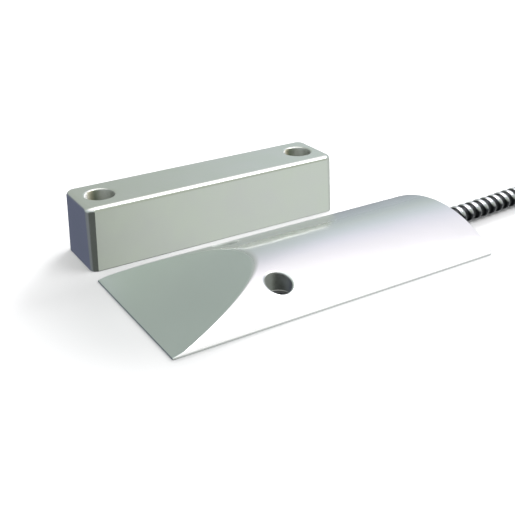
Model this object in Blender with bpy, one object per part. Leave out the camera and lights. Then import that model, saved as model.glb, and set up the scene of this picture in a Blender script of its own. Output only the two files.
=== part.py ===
"""Magnetic contact for an overhead door: a ramped floor switch with an armoured lead, and its magnet.

Lengths are in metres and angles in degrees. The origin is on the floor, under the middle of the
two units together: +X runs along the switch towards its lead, +Y from the switch to the magnet,
and +Z is up.
"""

import math

import bmesh
import bpy
from mathutils import Vector

# Clearances between pieces
SEAT_GAP = 0.0003  # between pieces that rest on or in each other
FINE_GAP = 0.0001  # the same in the reed circuit

# Switch casting
SWITCH_LENGTH = 0.0887
SWITCH_WIDTH = 0.0400
HUMP_HEIGHT = 0.0077  # at the crown of its arched back
SIDE_EDGE = 0.0009  # thickness of its long edges
RAMP_LENGTH = 0.0300  # from the tip to the crown
RAMP_TIP = 0.0004  # thickness of the ramp's tip
END_WALL = 0.0020  # round the conduit
HUMP_FACETS = 44

# Screw holes, one in each flank of the casting
HOLE_FROM_TIP = 0.0300
HOLE_SPACING = 0.0254  # across the casting
HEAD_BORE = 0.0065  # diameter of the recess for the screw's head
HEAD_SEAT = 0.0017  # height of the recess's floor
SCREW_BORE = 0.0042  # diameter of the way through
HOLE_LIP = 0.0006  # the rounded edge of the recess
HOLE_FACETS = 40

# Reed capsule and its blades
GLASS_LENGTH = 0.0140
GLASS_DIAMETER = 0.0025
GLASS_WALL = 0.0003
SEAL_LENGTH = 0.0012
LEAD_DIAMETER = 0.0006
LEAD_REACH = 0.0030  # from the glass to the bend's far side
LEAD_BEND = 0.0008
BLADE_ROUND = 0.0006  # from the seal to where the blade starts to flatten
BLADE_ROOT = 0.0020  # from the seal to where it is flat
BLADE_WIDTH = 0.0012
BLADE_THICKNESS = 0.00024
BLADE_OVERLAP = 0.0010
CONTACT_GAP = 0.0002

# Reed board
BOARD_LENGTH = 0.0290
BOARD_WIDTH = 0.0080
BOARD_THICKNESS = 0.0008
CHAMBER_TO_TIP = 0.0305  # the board's chamber starts this far from the ramp's tip
REED_FROM_BOARD_END = 0.0115  # the middle of the reed
FILLET_RADIUS = 0.0008  # of the solder round a lead
FILLET_HEIGHT = 0.0005
FILLET_WAIST = (0.0005, 0.0002)  # radius and height of the ring that hollows it
PAD_FROM_BOARD_END = 0.0020
PAD_SPACING = 0.0040
PAD_SOLDER_RADIUS = 0.0009
PAD_SOLDER_HEIGHT = 0.0011

# Resin under the board
POTTING_RECESS = 0.0003  # above the standing surface
POTTING_DEPTH = 0.0014
CHAMBER_CORNER = 0.0012

# Armoured conduit
CONDUIT_DIAMETER = 0.0050
CONDUIT_HEIGHT = 0.00265  # its centre line at the casting
CONDUIT_OFFSET = -0.0013  # its centre line from the casting's
CONDUIT_GRIP = 0.0110  # length inside the casting
CLIP_THICKNESS = 0.0006
CLIP_LENGTH = 0.0060
CLIP_FOOT = 0.0005  # height of the clip's feet above the standing surface

# Wires in the conduit
WIRE_DIAMETER = 0.0013
WIRE_SPREAD = 0.0016  # between the two centre lines, at the ends of the conduit

# Magnet block
MAGNET_LENGTH = 0.0720
MAGNET_WIDTH = 0.0168
MAGNET_HEIGHT = 0.0163
MAGNET_CORNER = 0.0028
MAGNET_FILLET = 0.0013
MAGNET_DRAFT = 1.4  # degrees, on each side
MAGNET_SHIFT = -0.0078  # its middle from the switch's, along X
UNIT_GAP = 0.0047  # between the two units
BLOCK_HOLE_INSET = 0.0066  # from each end
COUNTERBORE = 0.0068  # diameter, for a screw's pan head
COUNTERBORE_DEPTH = 0.0050
COUNTERBORE_LIP = 0.0006  # radius of its rounded edge
BLOCK_BORE = 0.0044

# Bar magnet in the block
BAR_LENGTH = 0.0440
BAR_WIDTH = 0.0092
BAR_HEIGHT = 0.0092
BLOCK_ROOF = 0.0023  # over the bar

# Coil of the conduit, put away beside the switch: two turns side by side and one on them
COIL_X = 0.1370
COIL_Y = 0.0114  # from the line of the conduit's exit
COIL_RADIUS = 0.0255  # at the middle of its turns
TURN_SPACING = 0.0052  # between the two turns side by side
TIE_WIDTH = 0.0035
TIE_THICKNESS = 0.0004
TIE_ANGLE = 40.0  # round the coil
TIE_FLOOR = 0.0002  # height of the tie's lowest face
TIE_HEAD_LENGTH = 0.0042  # along the band
TIE_HEAD_WIDTH = 0.0048
TIE_HEAD_HEIGHT = 0.0026

# Far end of the conduit
BUSHING_LENGTH = 0.0045
BUSHING_FLANGE = 0.0008  # its thickness
BUSHING_SHOULDER = 0.0012  # how far in the flange's fillet reaches
BUSHING_LIP = 0.0005  # how far its flange stands proud of the conduit
BUSHING_WALL = 0.0005
TIP_LENGTH = 0.0060
TIP_DIAMETER = 0.0007

# Worked out from the sizes above
hump_rise = HUMP_HEIGHT - SIDE_EDGE
hump_radius = ((SWITCH_WIDTH / 2) ** 2 + hump_rise**2) / (2 * hump_rise)
conduit_radius = CONDUIT_DIAMETER / 2
wire_radius = WIRE_DIAMETER / 2

pair_depth = SWITCH_WIDTH + UNIT_GAP + MAGNET_WIDTH
switch_y = (SWITCH_WIDTH - pair_depth) / 2
magnet_y = (pair_depth - MAGNET_WIDTH) / 2

reed_z = POTTING_RECESS + POTTING_DEPTH + SEAT_GAP + GLASS_DIAMETER / 2
board_bottom = reed_z + GLASS_DIAMETER / 2 + SEAT_GAP
board_top = board_bottom + BOARD_THICKNESS
chamber_start = CHAMBER_TO_TIP - SWITCH_LENGTH / 2
chamber_end = SWITCH_LENGTH / 2 - CONDUIT_GRIP
board_start = chamber_start + SEAT_GAP
reed_x = board_start + REED_FROM_BOARD_END
pad_x = board_start + BOARD_LENGTH - PAD_FROM_BOARD_END
seal_x = GLASS_LENGTH / 2 - SEAL_LENGTH  # inner face of a seal, from the reed's middle
lead_end_x = GLASS_LENGTH / 2 + LEAD_REACH  # where a lead goes up, from the reed's middle
clip_radius = conduit_radius + SEAT_GAP + CLIP_THICKNESS
trough_radius = clip_radius + SEAT_GAP
exit_y = switch_y + CONDUIT_OFFSET
turn_z = TIE_FLOOR + TIE_THICKNESS + SEAT_GAP + conduit_radius  # centre of the coil's lower turns


def clear_scene():
    for item in list(bpy.data.objects):
        bpy.data.objects.remove(item, do_unlink=True)


def material(name, colour, roughness, metallic=0.0, transmission=0.0):
    made = bpy.data.materials.new(name)
    made.use_nodes = True
    shader = made.node_tree.nodes["Principled BSDF"]
    shader.inputs["Base Color"].default_value = (*colour, 1.0)
    shader.inputs["Roughness"].default_value = roughness
    shader.inputs["Metallic"].default_value = metallic
    shader.inputs["Transmission Weight"].default_value = transmission
    made.diffuse_color = (*colour, 1.0)
    return made


def add_object(name, bm, finish, parent=None, smooth_angle=None):
    """A new object of this mesh, its faces turned outwards."""
    bmesh.ops.recalc_face_normals(bm, faces=bm.faces)
    mesh = bpy.data.meshes.new(name)
    bm.to_mesh(mesh)
    bm.free()
    if smooth_angle is not None:
        mesh.shade_smooth()
        mesh.set_sharp_from_angle(angle=math.radians(smooth_angle))
    made = bpy.data.objects.new(name, mesh)
    if finish:
        mesh.materials.append(finish)
    bpy.context.scene.collection.objects.link(made)
    made.parent = parent
    return made


def add_anchor(name, place):
    """An empty that carries one unit's pieces."""
    anchor = bpy.data.objects.new(name, None)
    anchor.location = place
    bpy.context.scene.collection.objects.link(anchor)
    return anchor


def combine(target, guide, operation):
    guide.hide_render = True
    guide.display_type = "WIRE"
    modifier = target.modifiers.new(guide.name, "BOOLEAN")
    modifier.operation = operation
    modifier.solver = "EXACT"
    modifier.object = guide


def cut(target, cutter):
    """Takes the cutter's shape out of the target."""
    combine(target, cutter, "DIFFERENCE")


def join(target, guide):
    """Makes the guide's shape part of the target."""
    combine(target, guide, "UNION")


def loft(rings, closed=False):
    """A mesh through rings of as many points each. It is capped at both ends, or closed into a loop."""
    bm = bmesh.new()
    rows = [[bm.verts.new(point) for point in ring] for ring in rings]
    count = len(rows[0])
    pairs = list(zip(rows, rows[1:]))
    if closed:
        pairs.append((rows[-1], rows[0]))
    for low, high in pairs:
        for i in range(count):
            j = (i + 1) % count
            bm.faces.new((low[i], low[j], high[j], high[i]))
    if not closed:
        bm.faces.new(rows[0])
        bm.faces.new(rows[-1])
    return bm


def prism(outline, start, end, axis):
    """A closed outline pushed from start to end along an axis."""
    place = {
        "X": lambda u, v, w: Vector((w, u, v)),
        "Y": lambda u, v, w: Vector((u, w, v)),
        "Z": lambda u, v, w: Vector((u, v, w)),
    }[axis]
    return loft([[place(u, v, w) for u, v in outline] for w in (start, end)])


def turned(profile, facets, axis="Z", centre=(0.0, 0.0, 0.0)):
    """A profile of (radius, height) points turned round an axis. It is capped flat at both ends, unless
    the profile is closed, with its first point last, which makes a ring."""
    ring_shape = profile[0] == profile[-1]
    points = profile[:-1] if ring_shape else profile
    rings = []
    for radius, height in points:
        ring = []
        for i in range(facets):
            angle = math.tau * i / facets
            u, v = radius * math.cos(angle), radius * math.sin(angle)
            point = Vector((u, v, height)) if axis == "Z" else Vector((height, u, v))
            ring.append(point + Vector(centre))
        rings.append(ring)
    return loft(rings, closed=ring_shape)


def arc(centre, radius, start, end, steps):
    """Points of (u, v) along an arc, angles in degrees."""
    angles = [math.radians(start + (end - start) * i / steps) for i in range(steps + 1)]
    return [(centre[0] + radius * math.cos(a), centre[1] + radius * math.sin(a)) for a in angles]


def rounded_rectangle(length, width, corner, steps=6):
    """Points of (x, y) round a rectangle with round corners, about its own middle."""
    corner = min(corner, 0.49 * length, 0.49 * width)
    points = []
    for sign_x, sign_y, start in ((1, 1, 0), (-1, 1, 90), (-1, -1, 180), (1, -1, 270)):
        centre = (sign_x * (length / 2 - corner), sign_y * (width / 2 - corner))
        points += arc(centre, corner, start, start + 90, steps)
    return points


def tube(name, points, radius, finish, parent=None, resolution=3):
    """A round cord along these points."""
    curve = bpy.data.curves.new(name, "CURVE")
    curve.dimensions = "3D"
    curve.bevel_depth = radius
    curve.bevel_resolution = resolution
    curve.use_fill_caps = True
    spline = curve.splines.new("POLY")
    spline.points.add(len(points) - 1)
    for target, point in zip(spline.points, points):
        target.co = (*point, 1.0)
    spline.use_smooth = True
    curve.materials.append(finish)
    made = bpy.data.objects.new(name, curve)
    bpy.context.scene.collection.objects.link(made)
    made.parent = parent
    return made


def smooth_route(points, step):
    """Points about this far apart on the smooth curve through these route points."""
    ends = [2 * points[0] - points[1]] + points + [2 * points[-1] - points[-2]]
    fine = []
    for before, start, end, after in zip(ends, ends[1:], ends[2:], ends[3:]):
        for i in range(24):
            t = i / 24
            fine.append(
                0.5
                * (
                    2 * start
                    + (end - before) * t
                    + (2 * before - 5 * start + 4 * end - after) * t**2
                    + (3 * start - before - 3 * end + after) * t**3
                )
            )
    fine.append(points[-1])
    length = sum((b - a).length for a, b in zip(fine, fine[1:]))
    pieces = max(2, round(length / step))
    route, walked, target = [fine[0]], 0.0, 1
    for a, b in zip(fine, fine[1:]):
        span = (b - a).length
        while target < pieces and walked + span >= length * target / pieces:
            route.append(a.lerp(b, (length * target / pieces - walked) / span))
            target += 1
        walked += span
    return route + [fine[-1]]


def hump_z(y):
    """Height of the casting's arched back, y from its centre line."""
    return HUMP_HEIGHT - hump_radius + math.sqrt(max(hump_radius**2 - y**2, 0.0))


def add_switch_housing(switch, finish):
    """The casting: an arched bar, its ramp planed off, then the screw holes and the chamber below."""
    half_width = SWITCH_WIDTH / 2
    section = [(-half_width, 0.0), (half_width, 0.0)]
    edge_angle = math.asin(half_width / hump_radius)
    for i in range(HUMP_FACETS + 1):
        y = hump_radius * math.sin(edge_angle * (1 - 2 * i / HUMP_FACETS))
        section.append((y, hump_z(y)))
    housing = add_object(
        "switch_housing",
        prism(section, -SWITCH_LENGTH / 2, SWITCH_LENGTH / 2, "X"),
        finish,
        switch,
        smooth_angle=12,
    )

    slope = (HUMP_HEIGHT - RAMP_TIP) / RAMP_LENGTH
    tip_x = -SWITCH_LENGTH / 2
    over = 0.1 * RAMP_LENGTH
    above = 2 * HUMP_HEIGHT
    wedge = [
        (tip_x - over, RAMP_TIP - over * slope),
        (tip_x + RAMP_LENGTH + over, HUMP_HEIGHT + over * slope),
        (tip_x - over, above),
    ]
    cut(housing, add_object("ramp_cutter", prism(wedge, -SWITCH_WIDTH, SWITCH_WIDTH, "Y"), None, switch))

    for side in (-1, 1):
        cutter = add_flank_hole_cutter(side, switch)
        cut(housing, cutter)

    for cutter in add_underside_cutters(switch):
        cut(housing, cutter)
    return housing


def add_flank_hole_cutter(side, switch):
    """A recess for a screw's head with a way through below it. Its lip follows the arched flank."""
    hole_x = HOLE_FROM_TIP - SWITCH_LENGTH / 2
    hole_y = side * HOLE_SPACING / 2
    head = HEAD_BORE / 2
    shank = SCREW_BORE / 2
    levels = [(shank, -SEAT_GAP, False), (shank, HEAD_SEAT, False), (head, HEAD_SEAT, False)]
    for turn in (0, 30, 60, 90):
        a = math.radians(turn)
        levels.append((head + HOLE_LIP * (1 - math.cos(a)), HOLE_LIP * (math.sin(a) - 1), True))
    levels.append((head + 2 * HOLE_LIP, HOLE_LIP, True))
    rings = []
    for radius, height, on_flank in levels:
        ring = []
        for i in range(HOLE_FACETS):
            angle = math.tau * i / HOLE_FACETS
            x, y = radius * math.cos(angle), hole_y + radius * math.sin(angle)
            ring.append(Vector((hole_x + x, y, height + (hump_z(y) if on_flank else 0.0))))
        rings.append(ring)
    name = "flank_hole_cutter_" + ("front" if side < 0 else "back")
    return add_object(name, loft(rings), None, switch)


def add_underside_cutters(switch):
    """The board's chamber, the trough for the conduit and its clip, and the notch in the end wall."""
    length = chamber_end - chamber_start
    chamber_middle = (chamber_start + chamber_end) / 2
    outline = rounded_rectangle(length, BOARD_WIDTH + 2 * SEAT_GAP, CHAMBER_CORNER)
    outline = [(x + chamber_middle, y) for x, y in outline]
    chamber = add_object(
        "chamber_cutter", prism(outline, -SEAT_GAP, board_top + SEAT_GAP, "Z"), None, switch
    )

    trough_end = SWITCH_LENGTH / 2 - END_WALL
    arch = arch_outline(trough_radius, -SEAT_GAP)
    trough = add_object(
        "trough_cutter", prism(arch, chamber_end - CHAMBER_CORNER, trough_end, "X"), None, switch
    )
    arch = arch_outline(conduit_radius + SEAT_GAP, -SEAT_GAP)
    beyond = SWITCH_LENGTH / 2 + END_WALL
    notch = add_object("notch_cutter", prism(arch, trough_end - END_WALL / 2, beyond, "X"), None, switch)
    return chamber, trough, notch


def arch_outline(radius, foot):
    """The outline of (y, z) of an arch over the conduit, open at its foot."""
    centre = (CONDUIT_OFFSET, CONDUIT_HEIGHT)
    return [(centre[0] + radius, foot), *arc(centre, radius, 0, 180, 20), (centre[0] - radius, foot)]


def add_reed(switch, glass, nickel_iron):
    """The glass capsule, and a blade with its lead from each end."""
    capsule = add_anchor("reed", (reed_x, 0.0, reed_z))
    capsule.parent = switch
    outer = GLASS_DIAMETER / 2
    inner = outer - GLASS_WALL
    hole = LEAD_DIAMETER / 2 + FINE_GAP
    end = GLASS_LENGTH / 2
    shoulder = outer - hole - FINE_GAP
    half = [(inner, seal_x - GLASS_WALL), (hole, seal_x)]
    rim = [(r, x) for x, r in arc((end - shoulder, outer - shoulder), shoulder, 0, 90, 5)]
    half += [(hole, end)] + rim
    mirrored = [(radius, -x) for radius, x in reversed(half)]
    profile = half + mirrored
    add_object("reed_glass", turned(profile + [profile[0]], 24, "X"), glass, capsule, smooth_angle=40)

    for name, side in (("left", -1), ("right", 1)):
        blade = add_object("reed_blade_" + name, loft(blade_rings(side)), nickel_iron, capsule, 40)
        blade.location.x = side * seal_x


def blade_rings(side):
    """Rings from the blade's tip to its lead's end. The blade's hinge line at the seal is its origin."""
    lead = LEAD_DIAMETER / 2
    offset = -side * (CONTACT_GAP + BLADE_THICKNESS) / 2
    flat = (BLADE_WIDTH / 2, BLADE_THICKNESS / 2, 5.0)
    round_lead = (lead, lead, 2.0)
    stations = [
        (seal_x + BLADE_OVERLAP / 2, offset, flat),
        (BLADE_ROOT, offset, flat),
        (BLADE_ROUND, 0.0, round_lead),
    ]
    rings = [section_ring(-side * x, z, Vector((0, 0, 1)), shape) for x, z, shape in stations]
    reach = lead_end_x - seal_x
    for turn in (0, 30, 60, 90):
        a = math.radians(turn)
        x = reach - LEAD_BEND + LEAD_BEND * math.sin(a)
        z = LEAD_BEND * (1 - math.cos(a))
        up = Vector((-side * math.sin(a), 0, math.cos(a)))
        rings.append(section_ring(side * x, z, up, round_lead))
    rings.append(section_ring(side * reach, board_top - reed_z, Vector((-side, 0, 0)), round_lead))
    return rings


def section_ring(x, z, up, shape, facets=14):
    """A ring of points across a blade or lead: an ellipse, or squarer as the last value of shape grows."""
    half_width, half_height, squareness = shape
    ring = []
    for i in range(facets):
        angle = math.tau * (i + 0.5) / facets
        c, s = math.cos(angle), math.sin(angle)
        across = half_width * math.copysign(abs(c) ** (2 / squareness), c)
        along = half_height * math.copysign(abs(s) ** (2 / squareness), s)
        ring.append(Vector((x, 0, z)) + Vector((0, across, 0)) + up * along)
    return ring


def add_board(switch, laminate, solder):
    """The board, the fillets of solder round the reed's leads, and the domes on the wires' pads."""
    outline = [
        (board_start, -BOARD_WIDTH / 2),
        (board_start + BOARD_LENGTH, -BOARD_WIDTH / 2),
        (board_start + BOARD_LENGTH, BOARD_WIDTH / 2),
        (board_start, BOARD_WIDTH / 2),
    ]
    board = add_object("reed_board", prism(outline, board_bottom, board_top, "Z"), laminate, switch)
    bore = LEAD_DIAMETER / 2 + FINE_GAP
    for name, side in (("left", -1), ("right", 1)):
        place = (reed_x + side * lead_end_x, 0.0)
        column = [(bore, board_bottom - FINE_GAP), (bore, board_top + FINE_GAP)]
        cutter = add_object("lead_hole_cutter_" + name, turned(column, 16), None, switch)
        cutter.location = (*place, 0.0)
        cut(board, cutter)
        seat = board_bottom - FINE_GAP
        fillet = [
            (bore, seat),
            (FILLET_RADIUS, seat),
            (FILLET_WAIST[0], seat - FILLET_WAIST[1]),
            (bore + FINE_GAP / 2, seat - FILLET_HEIGHT),
            (bore, seat - FILLET_HEIGHT),
        ]
        ring = add_object("reed_solder_" + name, turned(fillet + [fillet[0]], 16), solder, switch, 40)
        ring.location = (*place, 0.0)
    for name, side in (("red", -1), ("black", 1)):
        dome = arc((0.0, 0.0), 1.0, 0, 75, 5)
        seat = board_bottom - FINE_GAP
        profile = [(PAD_SOLDER_RADIUS * r, seat - PAD_SOLDER_HEIGHT * h) for r, h in dome]
        joint = add_object("wire_solder_" + name, turned(profile, 16), solder, switch, 40)
        joint.location = (pad_x, side * PAD_SPACING / 2, 0.0)


def add_inner_wires(switch, red, black):
    """The two wires, from their pads to the inner end of the conduit."""
    start_x = pad_x + PAD_SOLDER_RADIUS + FINE_GAP
    start_z = board_bottom - FINE_GAP - wire_radius
    end_x = chamber_end - SEAT_GAP
    for name, side, colour in (("red", -1, red), ("black", 1, black)):
        start = Vector((start_x, side * PAD_SPACING / 2, start_z))
        end = Vector((end_x, CONDUIT_OFFSET + side * WIRE_SPREAD / 2, CONDUIT_HEIGHT))
        points = []
        for i in range(15):
            t = i / 14
            ease = t * t * (3 - 2 * t)
            points.append(Vector((start.x + (end.x - start.x) * t, *start.lerp(end, ease).yz)))
        tube("inner_wire_" + name, points, wire_radius, colour, switch, resolution=2)


def add_clip(switch, steel):
    """The saddle over the conduit, an arch of strip with its feet in the resin."""
    outer = arch_outline(clip_radius, CLIP_FOOT)
    inner = arch_outline(clip_radius - CLIP_THICKNESS, CLIP_FOOT)
    middle = (chamber_end + SWITCH_LENGTH / 2 - END_WALL) / 2
    outline = outer + inner[::-1]
    bm = prism(outline, middle - CLIP_LENGTH / 2, middle + CLIP_LENGTH / 2, "X")
    add_object("conduit_clip", bm, steel, switch, 30)


def add_switch_potting(switch, resin):
    """The skin of resin that closes the chamber from below."""
    length = chamber_end - chamber_start - 2 * SEAT_GAP
    middle = (chamber_start + chamber_end) / 2
    outline = rounded_rectangle(length, BOARD_WIDTH, CHAMBER_CORNER - SEAT_GAP)
    outline = [(x + middle, y) for x, y in outline]
    bm = prism(outline, POTTING_RECESS, POTTING_RECESS + POTTING_DEPTH, "Z")
    add_object("switch_potting", bm, resin, switch)


def add_magnet_unit(magnet, cast, alnico, resin):
    """The block with its draft, fillets, counterbored holes and cavity, and what the cavity holds."""
    slant = math.tan(math.radians(MAGNET_DRAFT))
    shoulder = MAGNET_HEIGHT - MAGNET_FILLET
    levels = [(0.0, 0.0), (shoulder * slant, shoulder)]
    for turn in (15, 30, 45, 60, 75, 90):
        a = math.radians(turn)
        levels.append(
            (shoulder * slant + MAGNET_FILLET * (1 - math.cos(a)), shoulder + MAGNET_FILLET * math.sin(a))
        )
    rings = []
    for inset, z in levels:
        corner = max(MAGNET_CORNER - inset, MAGNET_CORNER / 8)
        outline = rounded_rectangle(MAGNET_LENGTH - 2 * inset, MAGNET_WIDTH - 2 * inset, corner, 8)
        rings.append([Vector((x, y, z)) for x, y in outline])
    block = add_object("magnet_housing", loft(rings), cast, magnet, smooth_angle=25)

    for name, side in (("left", -1), ("right", 1)):
        cutter = add_object("block_hole_cutter_" + name, turned(counterbore_profile(), 48), None, magnet)
        cutter.location.x = side * (MAGNET_LENGTH / 2 - BLOCK_HOLE_INSET)
        cut(block, cutter)

    cavity_top = MAGNET_HEIGHT - BLOCK_ROOF
    outline = rounded_rectangle(BAR_LENGTH + 2 * SEAT_GAP, BAR_WIDTH + 2 * SEAT_GAP, 2 * SEAT_GAP, 3)
    cut(block, add_object("cavity_cutter", prism(outline, -SEAT_GAP, cavity_top, "Z"), None, magnet))

    bar_top = cavity_top - SEAT_GAP
    bar_bottom = bar_top - BAR_HEIGHT
    outline = rounded_rectangle(BAR_LENGTH, BAR_WIDTH, SEAT_GAP, 2)
    add_object("bar_magnet", prism(outline, bar_bottom, bar_top, "Z"), alnico, magnet)
    add_object("magnet_potting", prism(outline, POTTING_RECESS, bar_bottom - SEAT_GAP, "Z"), resin, magnet)


def counterbore_profile():
    """Radius and height up a counterbored hole, its edge rounded, and on out of the top face."""
    bore = BLOCK_BORE / 2
    rim = COUNTERBORE / 2
    seat = MAGNET_HEIGHT - COUNTERBORE_DEPTH
    edge = arc((rim + COUNTERBORE_LIP, MAGNET_HEIGHT - COUNTERBORE_LIP), COUNTERBORE_LIP, 180, 100, 5)
    out = (rim + COUNTERBORE_LIP, MAGNET_HEIGHT + SEAT_GAP)
    return [(bore, -SEAT_GAP), (bore, seat), (rim, seat), *edge, out]


def from_exit(points):
    """Points of (x, y, z) whose y is measured from the line of the conduit's exit."""
    return [Vector((x, exit_y + y, z)) for x, y, z in points]


def conduit_route():
    """The conduit's smooth way from inside the casting to its coil."""
    route = [
        (chamber_end, 0.0, CONDUIT_HEIGHT),
        (chamber_end + CONDUIT_GRIP / 2, 0.0, CONDUIT_HEIGHT),
        (chamber_end + CONDUIT_GRIP, 0.0, CONDUIT_HEIGHT),
        (0.0520, 0.0003, 0.00265),
        (0.0620, 0.0010, 0.00265),
        (0.0730, 0.0017, 0.00265),
        (0.0840, 0.0009, 0.00265),
        (0.0940, -0.0020, 0.0027),
        (0.1040, -0.0059, 0.00285),
        (0.1107, -0.0085, 0.0030),
    ]
    return from_exit(route)


def tail_route():
    """The conduit's smooth way from its coil down to the floor, where it ends."""
    route = [
        (0.1206, -0.0151, 0.00857),
        (0.1260, -0.0186, 0.00816),
        (0.1316, -0.0208, 0.00744),
        (0.1384, -0.0220, 0.00638),
        (0.1452, -0.0216, 0.00523),
        (0.1518, -0.0196, 0.00424),
        (0.1582, -0.0157, 0.00345),
        (0.1638, -0.0101, 0.00315),
    ]
    return from_exit(route)


def wire_routes():
    """The two wires' smooth ways on from the bushing, round the coil's far side."""
    red = [
        (0.1702, -0.0012, 0.0016),
        (0.1720, 0.0049, 0.0009),
        (0.1722, 0.0117, 0.00075),
        (0.1710, 0.0184, 0.00075),
        (0.1696, 0.0250, 0.00075),
        (0.1687, 0.0312, 0.00075),
        (0.1668, 0.0366, 0.00075),
    ]
    black = [
        (0.1726, -0.0030, 0.0016),
        (0.1754, 0.0028, 0.0009),
        (0.1766, 0.0094, 0.00075),
        (0.1760, 0.0162, 0.00075),
        (0.1742, 0.0227, 0.00075),
        (0.1736, 0.0290, 0.00075),
        (0.1748, 0.0348, 0.00075),
    ]
    return {"red": from_exit(red), "black": from_exit(black)}


def stack_outline(radius):
    """The outline of (u, v) round three turns: two side by side and one on them, u away from the middle."""
    half = TURN_SPACING / 2
    rise = math.sqrt(CONDUIT_DIAMETER**2 - half**2)
    lean = math.degrees(math.atan2(half, rise))
    outline = arc((half, 0.0), radius, -90, lean, 7)
    outline += arc((0.0, rise), radius, lean, 180 - lean, 7)
    outline += arc((-half, 0.0), radius, 180 - lean, 270, 7)
    return outline


def add_coil(steel):
    """The ring of turns that lie against each other."""
    profile = [(COIL_RADIUS + u, turn_z + v) for u, v in stack_outline(conduit_radius)]
    coil = turned(profile + [profile[0]], 72, centre=(COIL_X, exit_y + COIL_Y, 0.0))
    add_object("conduit_coil", coil, steel, smooth_angle=35)


def add_tie(strap):
    """The band pulled tight round the turns, with its head on their outer side."""
    inside = stack_outline(conduit_radius + SEAT_GAP)
    outside = stack_outline(conduit_radius + SEAT_GAP + TIE_THICKNESS)
    half = TIE_WIDTH / 2
    rings = []
    for (u0, v0), (u1, v1) in zip(inside, outside):
        corners = ((u0, -half, v0), (u1, -half, v1), (u1, half, v1), (u0, half, v0))
        rings.append([Vector(corner) for corner in corners])
    tie = add_object("coil_tie", loft(rings, closed=True), strap, smooth_angle=35)

    section = rounded_rectangle(TIE_HEAD_HEIGHT, TIE_HEAD_WIDTH, TIE_THICKNESS, 3)
    bm = prism(section, -TIE_HEAD_LENGTH / 2, TIE_HEAD_LENGTH / 2, "Z")
    head = add_object("tie_head_guide", bm, None, tie)
    rise = math.sqrt(CONDUIT_DIAMETER**2 - (TURN_SPACING / 2) ** 2)
    lean = math.atan2(TURN_SPACING / 2, rise)
    out = conduit_radius + SEAT_GAP + (TIE_THICKNESS + TIE_HEAD_HEIGHT) / 2
    head.location = (TURN_SPACING / 4 + out * math.cos(lean), 0.0, rise / 2 + out * math.sin(lean))
    head.rotation_euler.y = -lean
    join(tie, head)

    angle = math.radians(TIE_ANGLE)
    reach = Vector((math.cos(angle), math.sin(angle), 0.0)) * COIL_RADIUS
    tie.location = Vector((COIL_X, exit_y + COIL_Y, turn_z)) + reach
    tie.rotation_euler.z = angle


def add_far_end(vinyl, red, black, tin):
    """The bushing in the conduit's end, and the two wires with their tinned tips."""
    end, before = tail_route()[-1], tail_route()[-2]
    heading = (end - before).normalized()
    bore = WIRE_SPREAD / 2 + wire_radius + SEAT_GAP
    flange = conduit_radius + BUSHING_LIP
    nose = bore + BUSHING_WALL
    profile = [
        (bore, 0.0),
        (flange, 0.0),
        (flange, BUSHING_FLANGE),
        (nose + BUSHING_WALL / 2, BUSHING_SHOULDER),
        (nose, BUSHING_LENGTH),
        (bore, BUSHING_LENGTH),
    ]
    bushing = add_object("conduit_bushing", turned(profile + [profile[0]], 28), vinyl, smooth_angle=30)
    bushing.rotation_mode = "QUATERNION"
    bushing.rotation_quaternion = heading.to_track_quat("Z", "Y")
    bushing.location = end + heading * SEAT_GAP

    across = Vector((heading.y, -heading.x, 0.0)).normalized()
    for (name, free), side, colour in zip(wire_routes().items(), (-1, 1), (red, black)):
        start = end + across * (side * WIRE_SPREAD / 2)
        inside = [start + heading * 2 * SEAT_GAP, start + heading * (BUSHING_LENGTH + SEAT_GAP)]
        route = smooth_route(inside + free, 2.5 * WIRE_DIAMETER)
        tube("tail_wire_" + name, route, wire_radius, colour, resolution=2)
        onward = (route[-1] - route[-2]).normalized()
        tip = [route[-1] + onward * SEAT_GAP, route[-1] + onward * (SEAT_GAP + TIP_LENGTH)]
        tube("tail_tip_" + name, tip, TIP_DIAMETER / 2, tin, resolution=2)


def main():
    clear_scene()
    cast = material("cast_aluminium", (0.78, 0.79, 0.80), 0.22, 1.0)
    block_cast = material("satin_aluminium", (0.68, 0.70, 0.66), 0.38, 1.0)
    steel = material("galvanised_steel", (0.55, 0.56, 0.58), 0.30, 1.0)
    nickel_iron = material("nickel_iron", (0.62, 0.60, 0.55), 0.30, 1.0)
    tin = material("tin", (0.80, 0.81, 0.82), 0.30, 1.0)
    glass = material("green_glass", (0.55, 0.75, 0.62), 0.05, transmission=0.9)
    laminate = material("board_laminate", (0.05, 0.22, 0.10), 0.5)
    resin = material("black_resin", (0.02, 0.02, 0.022), 0.45)
    alnico = material("alnico", (0.42, 0.42, 0.43), 0.45, 1.0)
    red = material("red_insulation", (0.60, 0.03, 0.03), 0.45)
    black = material("black_insulation", (0.02, 0.02, 0.02), 0.45)
    vinyl = material("black_vinyl", (0.03, 0.03, 0.03), 0.5)
    strap = material("tie_nylon", (0.80, 0.80, 0.76), 0.5)

    switch = add_anchor("switch", (0.0, switch_y, 0.0))
    add_switch_housing(switch, cast)
    add_reed(switch, glass, nickel_iron)
    add_board(switch, laminate, tin)
    add_inner_wires(switch, red, black)
    add_clip(switch, steel)
    add_switch_potting(switch, resin)

    magnet = add_anchor("magnet", (MAGNET_SHIFT, magnet_y, 0.0))
    add_magnet_unit(magnet, block_cast, alnico, resin)

    tube("conduit_run", smooth_route(conduit_route(), 2 * CONDUIT_DIAMETER), conduit_radius, steel)
    add_coil(steel)
    add_tie(strap)
    tube("conduit_tail", smooth_route(tail_route(), 1.5 * CONDUIT_DIAMETER), conduit_radius, steel)
    add_far_end(vinyl, red, black, tin)


main()
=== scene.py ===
import math

import bmesh
import bpy
from mathutils import Matrix, Vector


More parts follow.
